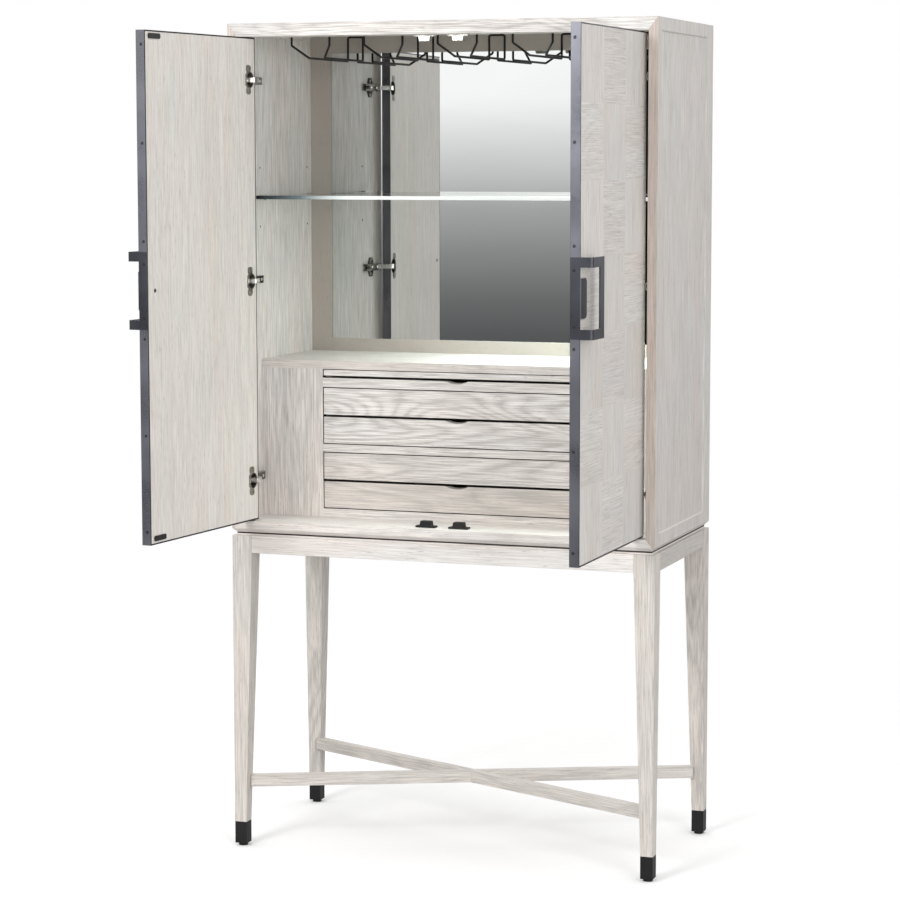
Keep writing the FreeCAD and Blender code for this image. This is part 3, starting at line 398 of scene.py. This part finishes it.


# painted shade: the right side takes a darker tint than the left, as it faces away from the key light
for hand, side, seed, tint in ((-1, "left", 12.0, "F8F6F4"), (1, "right", 13.0, "DEDCD9")):
    oak = limed_oak(side + "_side_oak", "z", seed, tint=tint, figure=0.18, gaps=peg_holes(hand),
                    lipped=True)
    dress(oak, "side_panel_" + side)
dress(limed_oak("top_board_oak", "x", 14.0, tint=PALEST, figure=0.7), "top_panel")
dress(limed_oak("bottom_board_oak", "x", 15.0, tint=PALE, contrast=0.6), "bottom_panel")
dress(limed_oak("back_board_oak", "z", 16.0, tint="D6D3CF", figure=0.3), "back_panel")

# Mirror: silvered glass in a frame of four oak members, rebated for it and glued to the back.
# The frame's stiles stand upright between counter and top, and its rails run across between them.
# The glass is clean: a bright reflection with the slightest green and a few faint wipe marks.

OPENING_HALF = 0.408
MIRROR_LEAN = -0.0085
SILVER_CLEAN = "CFD1D0"
SILVER_WIPED = "CACDCB"


def silvered_glass():
    made, tree = new_material("silvered_glass")
    wiped = noise(tree, object_place(tree), (3.0, 3.0, 9.0), 3.0, 0.6)
    # the glass sits half a degree out of square in its frame
    normal = add(tree, "ShaderNodeNewGeometry").outputs["Normal"]
    leaning = moved(tree, normal, (MIRROR_LEAN, 0, 0))
    tint = blend(tree, spread(tree, wiped, 0.3, 0.8), linear(SILVER_CLEAN), linear(SILVER_WIPED))
    glass = add(tree, "ShaderNodeBsdfPrincipled", {
        "Base Color": tint,
        "Metallic": 1.0,
        "Roughness": spread(tree, wiped, 0.4, 0.8, 0.0, 0.02),
        "Normal": add(tree, "ShaderNodeVectorMath", {0: leaning}, operation="NORMALIZE").outputs[0],
    })
    finish_material(tree, glass.outputs[0])
    return made


frame_oak = limed_oak("mirror_frame_oak", "x", 17.0, tint="B9B1A6", figure=0.3,
                      upright_beyond=OPENING_HALF)
dress(frame_oak, "mirror_frame")
dress(silvered_glass(), "mirror_glass")

# Drawer case: counter board, face frame, four drawers on side runners and two plain case sides.
# Limed oak; the drawer fronts are slab-sawn, cut in pairs from one board, the boxes plain.
# Each front shows long rings that run out to points, and round scoops with dark end grain.

BAY_HALF = 0.310
BAYS = ((0.7405, 0.8655), (0.8825, 1.0075), (1.028, 1.047))
FACE_FRONT, FACE_BACK = -0.1055, -0.0875
FACE_SKIN = 0.0005
DRAWER_TINTS = ("FAF8F6", "F8F6F4", "EDE9E5", "E2DDD7")
DRAWER_SEED, DRAWER_SEED_STEP = 22.0, 1.7
BOX_SEED, FLOOR_SEED = 30.0, 35.0


def gap_shade_edges(low, high):
    # the four narrow edges of a board that faces the front, as boxes just under its surface, for the
    # painted shade in the gaps round it
    reach = EDGE_DEPTH
    start, end = low.y + FACE_SKIN, high.y + reach
    return [
        ((low.x - reach, start, low.z), (low.x + reach, end, high.z)),
        ((high.x - reach, start, low.z), (high.x + reach, end, high.z)),
        ((low.x, start, low.z - reach), (high.x, end, low.z + reach)),
        ((low.x, start, high.z - reach), (high.x, end, high.z + reach)),
    ]


# painted shade on the inner edges of the face frame round each bay
bay_edges = []
for foot, head in BAYS:
    bay_edges += gap_shade_edges(Vector((-BAY_HALF, FACE_FRONT, foot)), Vector((BAY_HALF, FACE_BACK, head)))
dress(limed_oak("counter_oak", "x", 18.0, tint="E9E6E2", figure=0.3, contrast=0.8), "counter_top")
face_oak = limed_oak("face_frame_oak", "x", 19.0, figure=0.25, upright_beyond=BAY_HALF, gaps=bay_edges)
dress(face_oak, "drawer_face_frame")
dress(limed_oak("case_side_oak", "y", 20.0, figure=0.2), "drawer_case_sides")
dress(limed_oak("runner_oak", "y", 21.0, tint=INSIDE, figure=0.2), "drawer_runners")
for number, tint in enumerate(DRAWER_TINTS, 1):
    drawer = "drawer_%d_" % number
    # painted shade on the front's four edges, in the gaps round it
    edges = gap_shade_edges(*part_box(drawer + "front"))
    seed = DRAWER_SEED + DRAWER_SEED_STEP * number
    front_oak = limed_oak(drawer + "front_oak", "x", seed, tint=tint, figure=1.0, gaps=edges)
    box_oak = limed_oak(drawer + "box_oak", "y", BOX_SEED + number, tint=INSIDE, figure=0.2)
    floor_oak = limed_oak(drawer + "floor_oak", "x", FLOOR_SEED + number, tint=INSIDE, figure=0.2)
    dress(front_oak, drawer + "front")
    dress(box_oak, drawer + "box")
    dress(floor_oak, drawer + "floor")

# Pull-out shelf: a thin board above the drawers, with a lipping along its front edge.
# Veneered board and a solid oak lipping, on wooden ledges.
# From the front it is a narrow pale line between two dark ones: the gaps, with painted shade on the
# lipping's edges.

dress(limed_oak("pull_out_shelf_oak", "x", 40.0, figure=0.3), "pull_out_shelf")
# painted shade on the lipping's edges, in the gaps above and below it
edges = gap_shade_edges(*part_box("pull_out_shelf_lipping"))
dress(limed_oak("lipping_oak", "x", 41.0, figure=0.3, gaps=edges), "pull_out_shelf_lipping")

# Glass shelf: 8 mm float glass with ground edges, gripped by four channels on pegs.
# Seen edge on, the iron in the glass turns it dark green; the faces are clear.
# The channels are nickel-plated steel.

SHELF_LOW, SHELF_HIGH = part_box("glass_shelf")
GLASS_SKIN = 0.0009
GLASS_CLEAR = "F3F8F6"
GLASS_SHADOW = "E4EFEB"
EDGE_DARK, EDGE_GREY, EDGE_LIGHT = "0E1416", "6F7F86", "F6FCFA"
EDGE_DARK_X, EDGE_GREY_X, EDGE_LIGHT_X = -0.43, -0.33, -0.22
EDGE_WANDER = 0.03
NICKEL = "F2F0EC"
NICKEL_SPOT = "B9B5AE"


def float_glass():
    made, tree = new_material("float_glass")
    place = object_place(tree)
    x, y, z = axes(tree, place)
    # the ground edge is the skin at the front, the back and the two ends
    at_front = maths(tree, "LESS_THAN", y, SHELF_LOW.y + GLASS_SKIN)
    at_back = maths(tree, "GREATER_THAN", y, SHELF_HIGH.y - GLASS_SKIN)
    at_end = maths(tree, "GREATER_THAN", maths(tree, "ABSOLUTE", x), SHELF_HIGH.x - GLASS_SKIN)
    edge = maths(tree, "MAXIMUM", maths(tree, "MAXIMUM", at_front, at_back), at_end)
    ground = noise(tree, place, (400.0, 400.0, 400.0))
    # the light piped through the sheet leaves by its edge, more of it the farther from the near wall
    cloudy = noise(tree, place, (5.0, 5.0, 50.0))
    along = maths(tree, "ADD", x, maths(tree, "MULTIPLY", cloudy, EDGE_WANDER))
    to_grey = spread(tree, along, EDGE_DARK_X, EDGE_GREY_X)
    to_light = spread(tree, along, EDGE_GREY_X, EDGE_LIGHT_X)
    green = blend(tree, to_grey, linear(EDGE_DARK), linear(EDGE_GREY))
    green = blend(tree, to_light, green, linear(EDGE_LIGHT))
    clear = add(tree, "ShaderNodeBsdfPrincipled", {
        "Base Color": blend(tree, edge, linear(GLASS_CLEAR), green),
        "Roughness": maths(tree, "MULTIPLY", edge, spread(tree, ground, *MOST_NOISE, 0.15, 0.35)),
        "IOR": 1.5,
        "Transmission Weight": maths(tree, "SUBTRACT", 1.0, edge),
    })
    # light passes the thin shelf to what is under it, which refraction alone would leave too dark
    through = add(tree, "ShaderNodeBsdfTransparent", {0: linear(GLASS_SHADOW)})
    shadow = add(tree, "ShaderNodeLightPath").outputs["Is Shadow Ray"]
    both = add(tree, "ShaderNodeMixShader", {0: shadow, 1: clear.outputs[0], 2: through.outputs[0]})
    finish_material(tree, both.outputs[0])
    return made


def plated_steel(name, tint, roughness, brush, back_shade=None, back_from=0.0):
    # bright plate over pressed steel: thin drawn lines along Z, and dull spots where it was handled
    # given a tint for the back, whatever lies behind back_from takes it: painted shade, as on the rear of
    # a hinge arm
    made, tree = new_material(name)
    place = object_place(tree)
    lines = noise(tree, place, (brush, brush, brush / 12))
    spots = noise(tree, place, (60.0, 60.0, 60.0), 3.0)
    shine = maths(tree, "ADD", spread(tree, spots, 0.35, 0.7, roughness - 0.06, roughness + 0.1),
                  spread(tree, lines, 0.35, 0.65, -0.03, 0.05))
    colour = blend(tree, spread(tree, spots, 0.4, 0.75, 0.0, 0.5), linear(tint), linear(NICKEL_SPOT))
    if back_shade:
        behind = maths(tree, "GREATER_THAN", axes(tree, place)[1], back_from)
        colour = blend(tree, behind, colour, linear(back_shade))
    plate = add(tree, "ShaderNodeBsdfPrincipled", {
        "Base Color": colour,
        "Metallic": 1.0,
        "Roughness": shine,
        "Normal": relief(tree, lines, arris=0.0004, strength=0.15, depth=0.00005),
    })
    finish_material(tree, plate.outputs[0])
    return made


nickel = plated_steel("nickel_plate", NICKEL, roughness=0.18, brush=1800.0)
dress(float_glass(), "glass_shelf")
dress(nickel, "shelf_clips")

# Glass racks: five bent wires under the top board, each one a pair of rails that flare at the mouth.
# Round steel wire of 5 mm, bent cold and coated black, its ends let into the board.
# The coat is satin, so a thin light line runs along the top of each rail.

RACK_PITCH = 0.168
RACKS_BESIDE = 2
WIRE_RADIUS = 0.0025
WIRE_BEND = 0.0045
BEND_STEPS = 6
WIRE_SIDES = 12
CREASE = math.radians(40)

# where one side of a rack's wire turns, on its way from the mouth to the back end
CEILING = 1.777
MOUTH_X, MOUTH_Y, MOUTH_Z = 0.044, -0.1005, 1.747
RAIL_X, RAIL_FRONT, RAIL_BACK, RAIL_Z = 0.018, -0.0645, 0.1645, 1.721
RACK_SIDE = (
    (MOUTH_X, MOUTH_Y, CEILING),
    (MOUTH_X, MOUTH_Y, MOUTH_Z),
    (RAIL_X, RAIL_FRONT, RAIL_Z),
    (RAIL_X, RAIL_BACK, RAIL_Z),
    (RAIL_X, RAIL_BACK, CEILING - WIRE_RADIUS),
)


def rounded(points, radius, steps):
    # the same path with each corner drawn as an arc
    path = [points[0]]
    for before, corner, after in zip(points, points[1:], points[2:]):
        back = (before - corner).normalized()
        on = (after - corner).normalized()
        half = back.angle(on) / 2
        reach = radius / math.tan(half)
        centre = corner + (back + on).normalized() * (radius / math.sin(half))
        first = (corner + back * reach - centre).normalized()
        last = (corner + on * reach - centre).normalized()
        path += [centre + first.slerp(last, i / steps) * radius for i in range(steps + 1)]
    return path + [points[-1]]


def bridge(bm, first, second):
    # joins two rings of corners with a band of faces
    count = len(first)
    for k in range(count):
        other = (k + 1) % count
        bm.faces.new((first[k], first[other], second[other], second[k]))


def tube(bm, path, radius, sides):
    # a round tube along a path, turned as little as possible from one ring to the next
    turns = [math.tau * k / sides for k in range(sides)]
    rings = []
    normal = None
    for i, point in enumerate(path):
        ahead = (path[min(i + 1, len(path) - 1)] - path[max(i - 1, 0)]).normalized()
        normal = ahead.orthogonal() if normal is None else normal - ahead * normal.dot(ahead)
        normal.normalize()
        side = ahead.cross(normal)
        spokes = [normal * math.cos(turn) + side * math.sin(turn) for turn in turns]
        rings.append([bm.verts.new(point + spoke * radius) for spoke in spokes])
    for ring, following in zip(rings, rings[1:]):
        bridge(bm, ring, following)
    bm.faces.new(rings[0][::-1])
    bm.faces.new(rings[-1])


def mesh_of(bm, name):
    # turns what was drawn into a mesh whose faces all look outwards
    bmesh.ops.recalc_face_normals(bm, faces=bm.faces)
    mesh = bpy.data.meshes.new(name)
    bm.to_mesh(mesh)
    bm.free()
    return mesh


def link(name, data):
    # puts a mesh, a light or a camera into the scene
    made = bpy.data.objects.new(name, data)
    bpy.context.scene.collection.objects.link(made)
    return made


def riding(name, mesh, body):
    # a mesh as a named piece that moves with a body
    made = link(name, mesh)
    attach(made, body)
    return made


racks = bmesh.new()
for step in range(-RACKS_BESIDE, RACKS_BESIDE + 1):
    left = [Vector((step * RACK_PITCH - x, y, z)) for x, y, z in RACK_SIDE]
    right = [Vector((step * RACK_PITCH + x, y, z)) for x, y, z in RACK_SIDE]
    tube(racks, rounded(left + right[::-1], WIRE_BEND, BEND_STEPS), WIRE_RADIUS, WIRE_SIDES)
wires = mesh_of(racks, "rack_wires")
wires.materials.append(black_coat)
wires.shade_smooth()
wires.set_sharp_from_angle(angle=CREASE)
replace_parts(riding("rack_wires", wires, "cabinet"), "stemware_racks")

# Hinges: six concealed cup hinges, each one a cup in the door, an arm and a winged plate on the side.
# Pressed steel with bright nickel plate, screwed on; the arm turns on a pin across the cup.
# Cross-headed screws hold the wings, and two more in each arm set the door.

# painted shade: the cups, the plates and the rear of each arm are tinted darker than the bright nickel
SHADED_NICKEL = "8F8D84"
SHADED_PLATE_NICKEL = "4E4C48"
ARM_BACK_SHADE = "6A6863"
ARM_JOINT = -0.168

shaded_nickel = plated_steel("shaded_nickel_plate", SHADED_NICKEL, roughness=0.3, brush=1500.0)
shaded_plate_nickel = plated_steel("shaded_plate_nickel", SHADED_PLATE_NICKEL, roughness=0.25, brush=1500.0)
arm_nickel = plated_steel("arm_nickel_plate", NICKEL, roughness=0.16, brush=1500.0, back_shade=ARM_BACK_SHADE,
                          back_from=ARM_JOINT)
dress(arm_nickel, "hinge_arms")
dress(shaded_plate_nickel, "hinge_plates")
dress(shaded_nickel, "door_left_hinge_cups", "door_right_hinge_cups")

# a screw head that is one metre wide: its brow, and the cross-shaped recess in its crown
HEAD_SIDES = 20
BROW_SHARE, BROW_RISE, CROWN_RISE = 0.8, 0.1, 0.13
CROSS_LONG, CROSS_SHORT = 0.27, 0.07
RECESS_SHARE, RECESS_DEPTH = 0.6, 0.12


def screw_head():
    bm = bmesh.new()
    turns = [math.tau * k / HEAD_SIDES for k in range(HEAD_SIDES)]
    rim = [bm.verts.new((0.5 * math.cos(turn), 0.5 * math.sin(turn), 0.0)) for turn in turns]
    brow = [bm.verts.new((v.co.x * BROW_SHARE, v.co.y * BROW_SHARE, BROW_RISE)) for v in rim]
    arm = [(CROSS_LONG, CROSS_SHORT), (CROSS_SHORT, CROSS_SHORT), (CROSS_SHORT, CROSS_LONG)]
    cross = []
    for quarter in range(4):
        turn = Matrix.Rotation(quarter * math.pi / 2, 3, "Z")
        cross += [bm.verts.new(turn @ Vector((x, y, CROWN_RISE))) for x, y in arm]
    bridge(bm, rim, brow)
    outline = []
    for loop in (brow, cross):
        for vert, other in zip(loop, loop[1:] + loop[:1]):
            outline.append(bm.edges.get((vert, other)) or bm.edges.new((vert, other)))
    bmesh.ops.triangle_fill(bm, edges=outline, use_beauty=True)
    recess = [bm.verts.new((v.co.x * RECESS_SHARE, v.co.y * RECESS_SHARE, -RECESS_DEPTH)) for v in cross]
    bridge(bm, cross, recess)
    bm.faces.new(recess)
    return bpy.data.objects.new("screw_head_shape", mesh_of(bm, "screw_head_shape"))


def screw_nodes():
    # puts a screw head on every point, facing along the point's own direction and turned by chance
    tree = bpy.data.node_groups.new("screws_on_points", "GeometryNodeTree")
    sockets = (("Places", "Geometry"), ("Head", "Object"), ("Width", "Float"), ("Seed", "Int"),
               ("Finish", "Material"))
    for name, kind in sockets:
        tree.interface.new_socket(name, in_out="INPUT", socket_type="NodeSocket" + kind)
    tree.interface.new_socket("Screws", in_out="OUTPUT", socket_type="NodeSocketGeometry")
    given = add(tree, "NodeGroupInput").outputs
    facing = add(tree, "GeometryNodeInputNamedAttribute", {"Name": "facing"}, data_type="FLOAT_VECTOR")
    turned = add(tree, "FunctionNodeAlignRotationToVector", {"Vector": facing.outputs[0]}, axis="Z")
    chance = add(tree, "FunctionNodeRandomValue", {2: 0.0, 3: math.pi / 2, "Seed": given["Seed"]},
                 data_type="FLOAT")
    spin = add(tree, "FunctionNodeAxisAngleToRotation", {"Axis": (0, 0, 1), "Angle": chance.outputs[1]})
    both = add(tree, "FunctionNodeRotateRotation", {0: turned.outputs[0], 1: spin.outputs[0]},
               rotation_space="LOCAL")
    head = add(tree, "GeometryNodeObjectInfo", {"Object": given["Head"]})
    placed = add(tree, "GeometryNodeInstanceOnPoints", {
        "Points": given["Places"],
        "Instance": head.outputs["Geometry"],
        "Rotation": both.outputs[0],
        "Scale": given["Width"],
    })
    real = add(tree, "GeometryNodeRealizeInstances", {0: placed.outputs[0]})
    coated = add(tree, "GeometryNodeSetMaterial", {0: real.outputs[0], "Material": given["Finish"]})
    add(tree, "NodeGroupOutput", {0: coated.outputs[0]})
    return tree


HEAD_SHAPE = screw_head()
SCREW_TREE = screw_nodes()


def screws(name, places, material, body, width, seed):
    # places holds a point and a direction for each screw; seed turns their crosses
    points = bpy.data.meshes.new(name + "_places")
    points.from_pydata([point for point, facing in places], [], [])
    directions = points.attributes.new("facing", "FLOAT_VECTOR", "POINT").data
    for entry, (point, facing) in zip(directions, places):
        entry.vector = facing
    source = link(name + "_source", points)
    modifier = source.modifiers.new("Screws", "NODES")
    modifier.node_group = SCREW_TREE
    values = {"Head": HEAD_SHAPE, "Width": width, "Seed": seed, "Finish": material}
    for item in SCREW_TREE.interface.items_tree:
        if item.item_type == "SOCKET" and item.in_out == "INPUT" and item.name in values:
            modifier[item.identifier] = values[item.name]
    mesh = bpy.data.meshes.new_from_object(source.evaluated_get(bpy.context.evaluated_depsgraph_get()))
    mesh.name = name
    source.modifiers.remove(modifier)
    bpy.data.objects.remove(source)
    riding(name, mesh, body)


HINGE_HEIGHTS = (0.811, 1.242, 1.671)
BOTH_WAYS = (-1, 1)
PLATE_THICK = 0.002
PLATE_SCREW_Y = FRONT_Y + 0.074
PLATE_SCREW = 0.017
ARM_RISE = 0.014
ARM_SCREWS_Y = (FRONT_Y + 0.062, FRONT_Y + 0.094)

plate_places = []
arm_places = []
for hand in (1, -1):
    inward = Vector((hand, 0, 0))
    plate_face = -hand * (WALL_INSIDE - PLATE_THICK)
    arm_face = -hand * (WALL_INSIDE - ARM_RISE)
    for height in HINGE_HEIGHTS:
        plate_places += [(Vector((plate_face, PLATE_SCREW_Y, height + way * PLATE_SCREW)), inward)
                         for way in BOTH_WAYS]
        arm_places += [(Vector((arm_face, y, height)), inward) for y in ARM_SCREWS_Y]
screws("hinge_plate_screws", plate_places, shaded_nickel, "cabinet", width=0.0072, seed=5)
screws("hinge_arm_screws", arm_places, nickel, "cabinet", width=0.0066, seed=6)

# Doors: a veneered core with steel strips let in round its edges, a bent steel pull and strike plates.
# The inner face is one upright veneer; the outer one is laid in square blocks, each a quarter turned.
# The steel is painted a satin gunmetal grey, a little darker on the pull, with blackened screws.

GUNMETAL = "46474D"
STRIP_STEEL = "6E6F76"
SCREW_BLACK = "0E0E10"
PANEL_EDGE = 0.004
PANEL_FOOT = 0.7275
PANEL_FACE = FRONT_Y + 0.010
BLOCK_WIDE = 0.446 / 3
BLOCK_HIGH = 1.030 / 7

# a hung door's pivot on the case and in the door, and how far the doors stand open
PIVOT_X, PIVOT_Y = 0.436, -0.2195
PIVOT_U, PIVOT_V = 0.017, 0.008
LEFT_OPEN = math.radians(95.4)
RIGHT_OPEN = math.radians(89.6)

# places on a door: u from its hinge edge, v inwards from its outer face, and the height
CUP_SCREW_U, CUP_SCREW_V, CUP_SCREW_RISE = 0.030, 0.0215, 0.0235
EDGE_SCREW_U, EDGE_SCREW_V = 0.452, 0.012
PULL_SCREW = (0.423, 0.020, 1.2405)
HANDLE_SCREWS = (1.187, 1.2946)
DOOR_MIDDLE = 1.242
STRIP_SCREW_STEPS = (0.098, 0.294, 0.490)
STRIP_SCREWS = tuple(DOOR_MIDDLE + way * step for step in STRIP_SCREW_STEPS for way in BOTH_WAYS)


def door_turn(hand, opening):
    return Matrix.Rotation(-hand * opening, 3, "Z")


def door_point(hand, opening, u, v, z):
    turned = door_turn(hand, opening) @ Vector((hand * (u - PIVOT_U), v - PIVOT_V, 0))
    return Vector((turned.x - hand * PIVOT_X, turned.y + PIVOT_Y, z))


def shut_seat(hand, opening):
    # the shift and the turn that carry a hung door's coordinates back to where they are when it is shut
    pivot = Vector((-hand * PIVOT_X, PIVOT_Y, 0))
    turn = hand * opening
    return tuple(pivot - Matrix.Rotation(turn, 3, "Z") @ pivot), (0, 0, turn)


gunmetal = coated_metal("gunmetal_paint", GUNMETAL, roughness=0.32, grit=1200.0, metal=0.9)
dark_screw = coated_metal("blackened_screw", SCREW_BLACK, roughness=0.45, grit=900.0, metal=0.2)
veneer = {
    "edge": PANEL_EDGE,
    "foot": PANEL_FOOT,
    "face": PANEL_FACE,
    "wide": BLOCK_WIDE,
    "high": BLOCK_HIGH,
}
for hand, side, opening, seed in ((1, "left", LEFT_OPEN, 50.0), (-1, "right", RIGHT_OPEN, 60.0)):
    body = side + "_door"
    seat = shut_seat(hand, opening)
    oak = limed_oak(side + "_door_oak", "z", seed, tint="F0EDE9", figure=0.3, contrast=0.6, seat=seat,
                    blocks=veneer)
    # the strips' paint, with painted shade on the door's two faces
    paint = coated_metal(side + "_strip_paint", STRIP_STEEL, roughness=0.32, grit=1200.0, metal=0.9,
                         seat=seat)
    dress(oak, "door_%s_panel" % side)
    dress(paint, "door_%s_edge_strips" % side)
    dress(gunmetal, "door_%s_handle" % side)
    dress(black_coat, "door_%s_strike_plates" % side)

    inwards = door_turn(hand, opening) @ Vector((0, 1, 0))
    outwards = door_turn(hand, opening) @ Vector((hand, 0, 0))
    cup_places = []
    for height in HINGE_HEIGHTS:
        for way in BOTH_WAYS:
            screw_height = height + way * CUP_SCREW_RISE
            point = door_point(hand, opening, CUP_SCREW_U, CUP_SCREW_V, screw_height)
            cup_places.append((point, inwards))
    edge_places = []
    for height in STRIP_SCREWS + HANDLE_SCREWS:
        edge_places.append((door_point(hand, opening, EDGE_SCREW_U, EDGE_SCREW_V, height), outwards))
    pull_places = [(door_point(hand, opening, *PULL_SCREW), inwards)]
    screws(body + "_cup_screws", cup_places, shaded_nickel, body, width=0.0075, seed=7)
    screws(body + "_edge_screws", edge_places, dark_screw, body, width=0.0062, seed=8)
    screws(body + "_pull_screw", pull_places, dark_screw, body, width=0.0085, seed=9)

# Catches: two hat-shaped magnetic catches on the bottom board and two under the top.
# Moulded plastic cases with steel poles, screwed down at their flanges.
# Those below are black and those above are bright.

dress(black_nylon, "floor_catches")
dress(nickel, "ceiling_catches")

# Floor, lights and camera: a white studio with a large soft light in front, to the left and above.
# A broad weaker light fills from the right, and a small one under the top lights the inside.
# The floor is a finite white sheet, so that the mirror, which looks slightly downwards, sees past it.

FLOOR_HALF = 1.9
PAPER_GREY = "FDFDFD"
PAPER_DULL = "B0B0B0"


def studio_paper():
    made, tree = new_material("studio_paper")
    fibre = noise(tree, object_place(tree), (300.0, 300.0, 300.0))
    tint = blend(tree, spread(tree, fibre, *MOST_NOISE), linear(WHITE), linear(PAPER_GREY))
    # the sheet returns less light to the cabinet than it shows
    matt = add(tree, "ShaderNodeBsdfDiffuse", {0: tint})
    dull = add(tree, "ShaderNodeBsdfDiffuse", {0: linear(PAPER_DULL)})
    seen = add(tree, "ShaderNodeLightPath").outputs["Is Camera Ray"]
    both = add(tree, "ShaderNodeMixShader", {0: seen, 1: dull.outputs[0], 2: matt.outputs[0]})
    finish_material(tree, both.outputs[0])
    return made


corners = [(x * FLOOR_HALF, y * FLOOR_HALF, 0) for x, y in ((-1, -1), (1, -1), (1, 1), (-1, 1))]
sheet = bpy.data.meshes.new("floor")
sheet.from_pydata(corners, [], [(0, 1, 2, 3)])
sheet.materials.append(studio_paper())
link("floor", sheet)

CAMERA_PLACE = (1.9428, -5.6337, 1.5182)
CAMERA_YAW = math.radians(19.507)
CAMERA_PITCH = math.radians(-6.217)
CAMERA_ROLL = math.radians(-0.070)
IMAGE_SIDE = 900
FOCAL_PIXELS = 2737.9
SENSOR_WIDTH = 36.0

camera_data = bpy.data.cameras.new("camera")
camera_data.sensor_width = SENSOR_WIDTH
camera_data.lens = FOCAL_PIXELS / IMAGE_SIDE * SENSOR_WIDTH
camera_data.clip_end = 60.0
camera = link("camera", camera_data)
camera.matrix_world = (
    Matrix.Translation(CAMERA_PLACE) @ Matrix.Rotation(CAMERA_YAW, 4, "Z")
    @ Matrix.Rotation(math.pi / 2 + CAMERA_PITCH, 4, "X") @ Matrix.Rotation(CAMERA_ROLL, 4, "Z")
)
bpy.context.scene.camera = camera


def soft_light(name, place, target, size, power):
    # a rectangular light that faces its target
    data = bpy.data.lights.new(name, "AREA")
    data.shape = "RECTANGLE"
    data.size, data.size_y = size
    data.energy = power
    made = link(name, data)
    away = Vector(place) - Vector(target)
    made.matrix_world = Matrix.Translation(place) @ away.to_track_quat("Z", "Y").to_matrix().to_4x4()
    return made


soft_light("key_light", place=(-1.5, -4.9, 3.3), target=(0, 0, 1.0), size=(1.5, 2.0), power=112.0)
soft_light("fill_light", place=(3.7, -3.8, 1.5), target=(0.2, -0.3, 1.0), size=(2.0, 2.4), power=85.0)
inside = soft_light("inside_light", place=(0.26, 0.03, 1.70), target=(0.26, 0.08, 1.0), size=(0.3, 0.16),
                    power=3.0)
inside.data.spread = math.radians(105)
inside.visible_glossy = False
inside.visible_camera = False

# the studio's wall as the mirror shows it, from below the horizon to above it: rise and grey
SWEEP_GREYS = (
    (-0.35, "98989A"), (-0.16, "6A6A6C"), (-0.08, "4E4E50"), (-0.0656, "5C5C5D"), (-0.0548, "6A6A6B"),
    (-0.0356, "8D8D8E"), (-0.0206, "A8A8A9"), (-0.0122, "BEBEBF"), (0.0016, "DBDBDB"), (0.0196, "FCFCFC"),
    (0.04, "FFFFFF"),
)
SWEEP_LOW, SWEEP_HIGH = SWEEP_GREYS[0][0], SWEEP_GREYS[-1][0]
SWEEP_POWER = 1.5
AMBIENT_POWERS = (0.5, 1.25)
FLAG_MIDDLE, FLAG_HALF = 0.259, 0.046
FLAG_BLACK = "121214"


def studio_world():
    # the camera sees white, what shines sees the sweep, and the rest is lit more from above than below
    world = bpy.data.worlds.new("studio")
    bpy.context.scene.world = world
    world.use_nodes = True
    tree = world.node_tree
    tree.nodes.clear()
    x, y, up = axes(tree, add(tree, "ShaderNodeTexCoord").outputs["Generated"])
    greys = add(tree, "ShaderNodeValToRGB", {0: spread(tree, up, SWEEP_LOW, SWEEP_HIGH)})
    elements = greys.color_ramp.elements
    while len(elements) < len(SWEEP_GREYS):
        elements.new(0.5)
    for element, (rise, grey) in zip(elements, SWEEP_GREYS):
        element.position = (rise - SWEEP_LOW) / (SWEEP_HIGH - SWEEP_LOW)
        element.color = linear(grey)
    # a black flag stands beside the sweep, where the mirror's right end looks
    ahead = maths(tree, "LESS_THAN", y, 0.0)
    within = maths(tree, "COMPARE", maths(tree, "DIVIDE", x, y), FLAG_MIDDLE, FLAG_HALF)
    sweep = blend(tree, maths(tree, "MULTIPLY", ahead, within), greys.outputs[0], linear(FLAG_BLACK))

    def background(colour, power):
        return add(tree, "ShaderNodeBackground", {0: colour, 1: power}).outputs[0]

    rays = add(tree, "ShaderNodeLightPath").outputs
    seen = background(linear(WHITE), 1.0)
    shown = background(linear(WHITE), spread(tree, up, 0.0, 1.0, *AMBIENT_POWERS))
    for ray, light in (("Is Glossy Ray", background(sweep, SWEEP_POWER)), ("Is Camera Ray", seen),
                       ("Is Transmission Ray", seen)):
        shown = add(tree, "ShaderNodeMixShader", {0: rays[ray], 1: shown, 2: light}).outputs[0]
    add(tree, "ShaderNodeOutputWorld", {0: shown})


studio_world()
bpy.context.scene.view_settings.view_transform = "Standard"
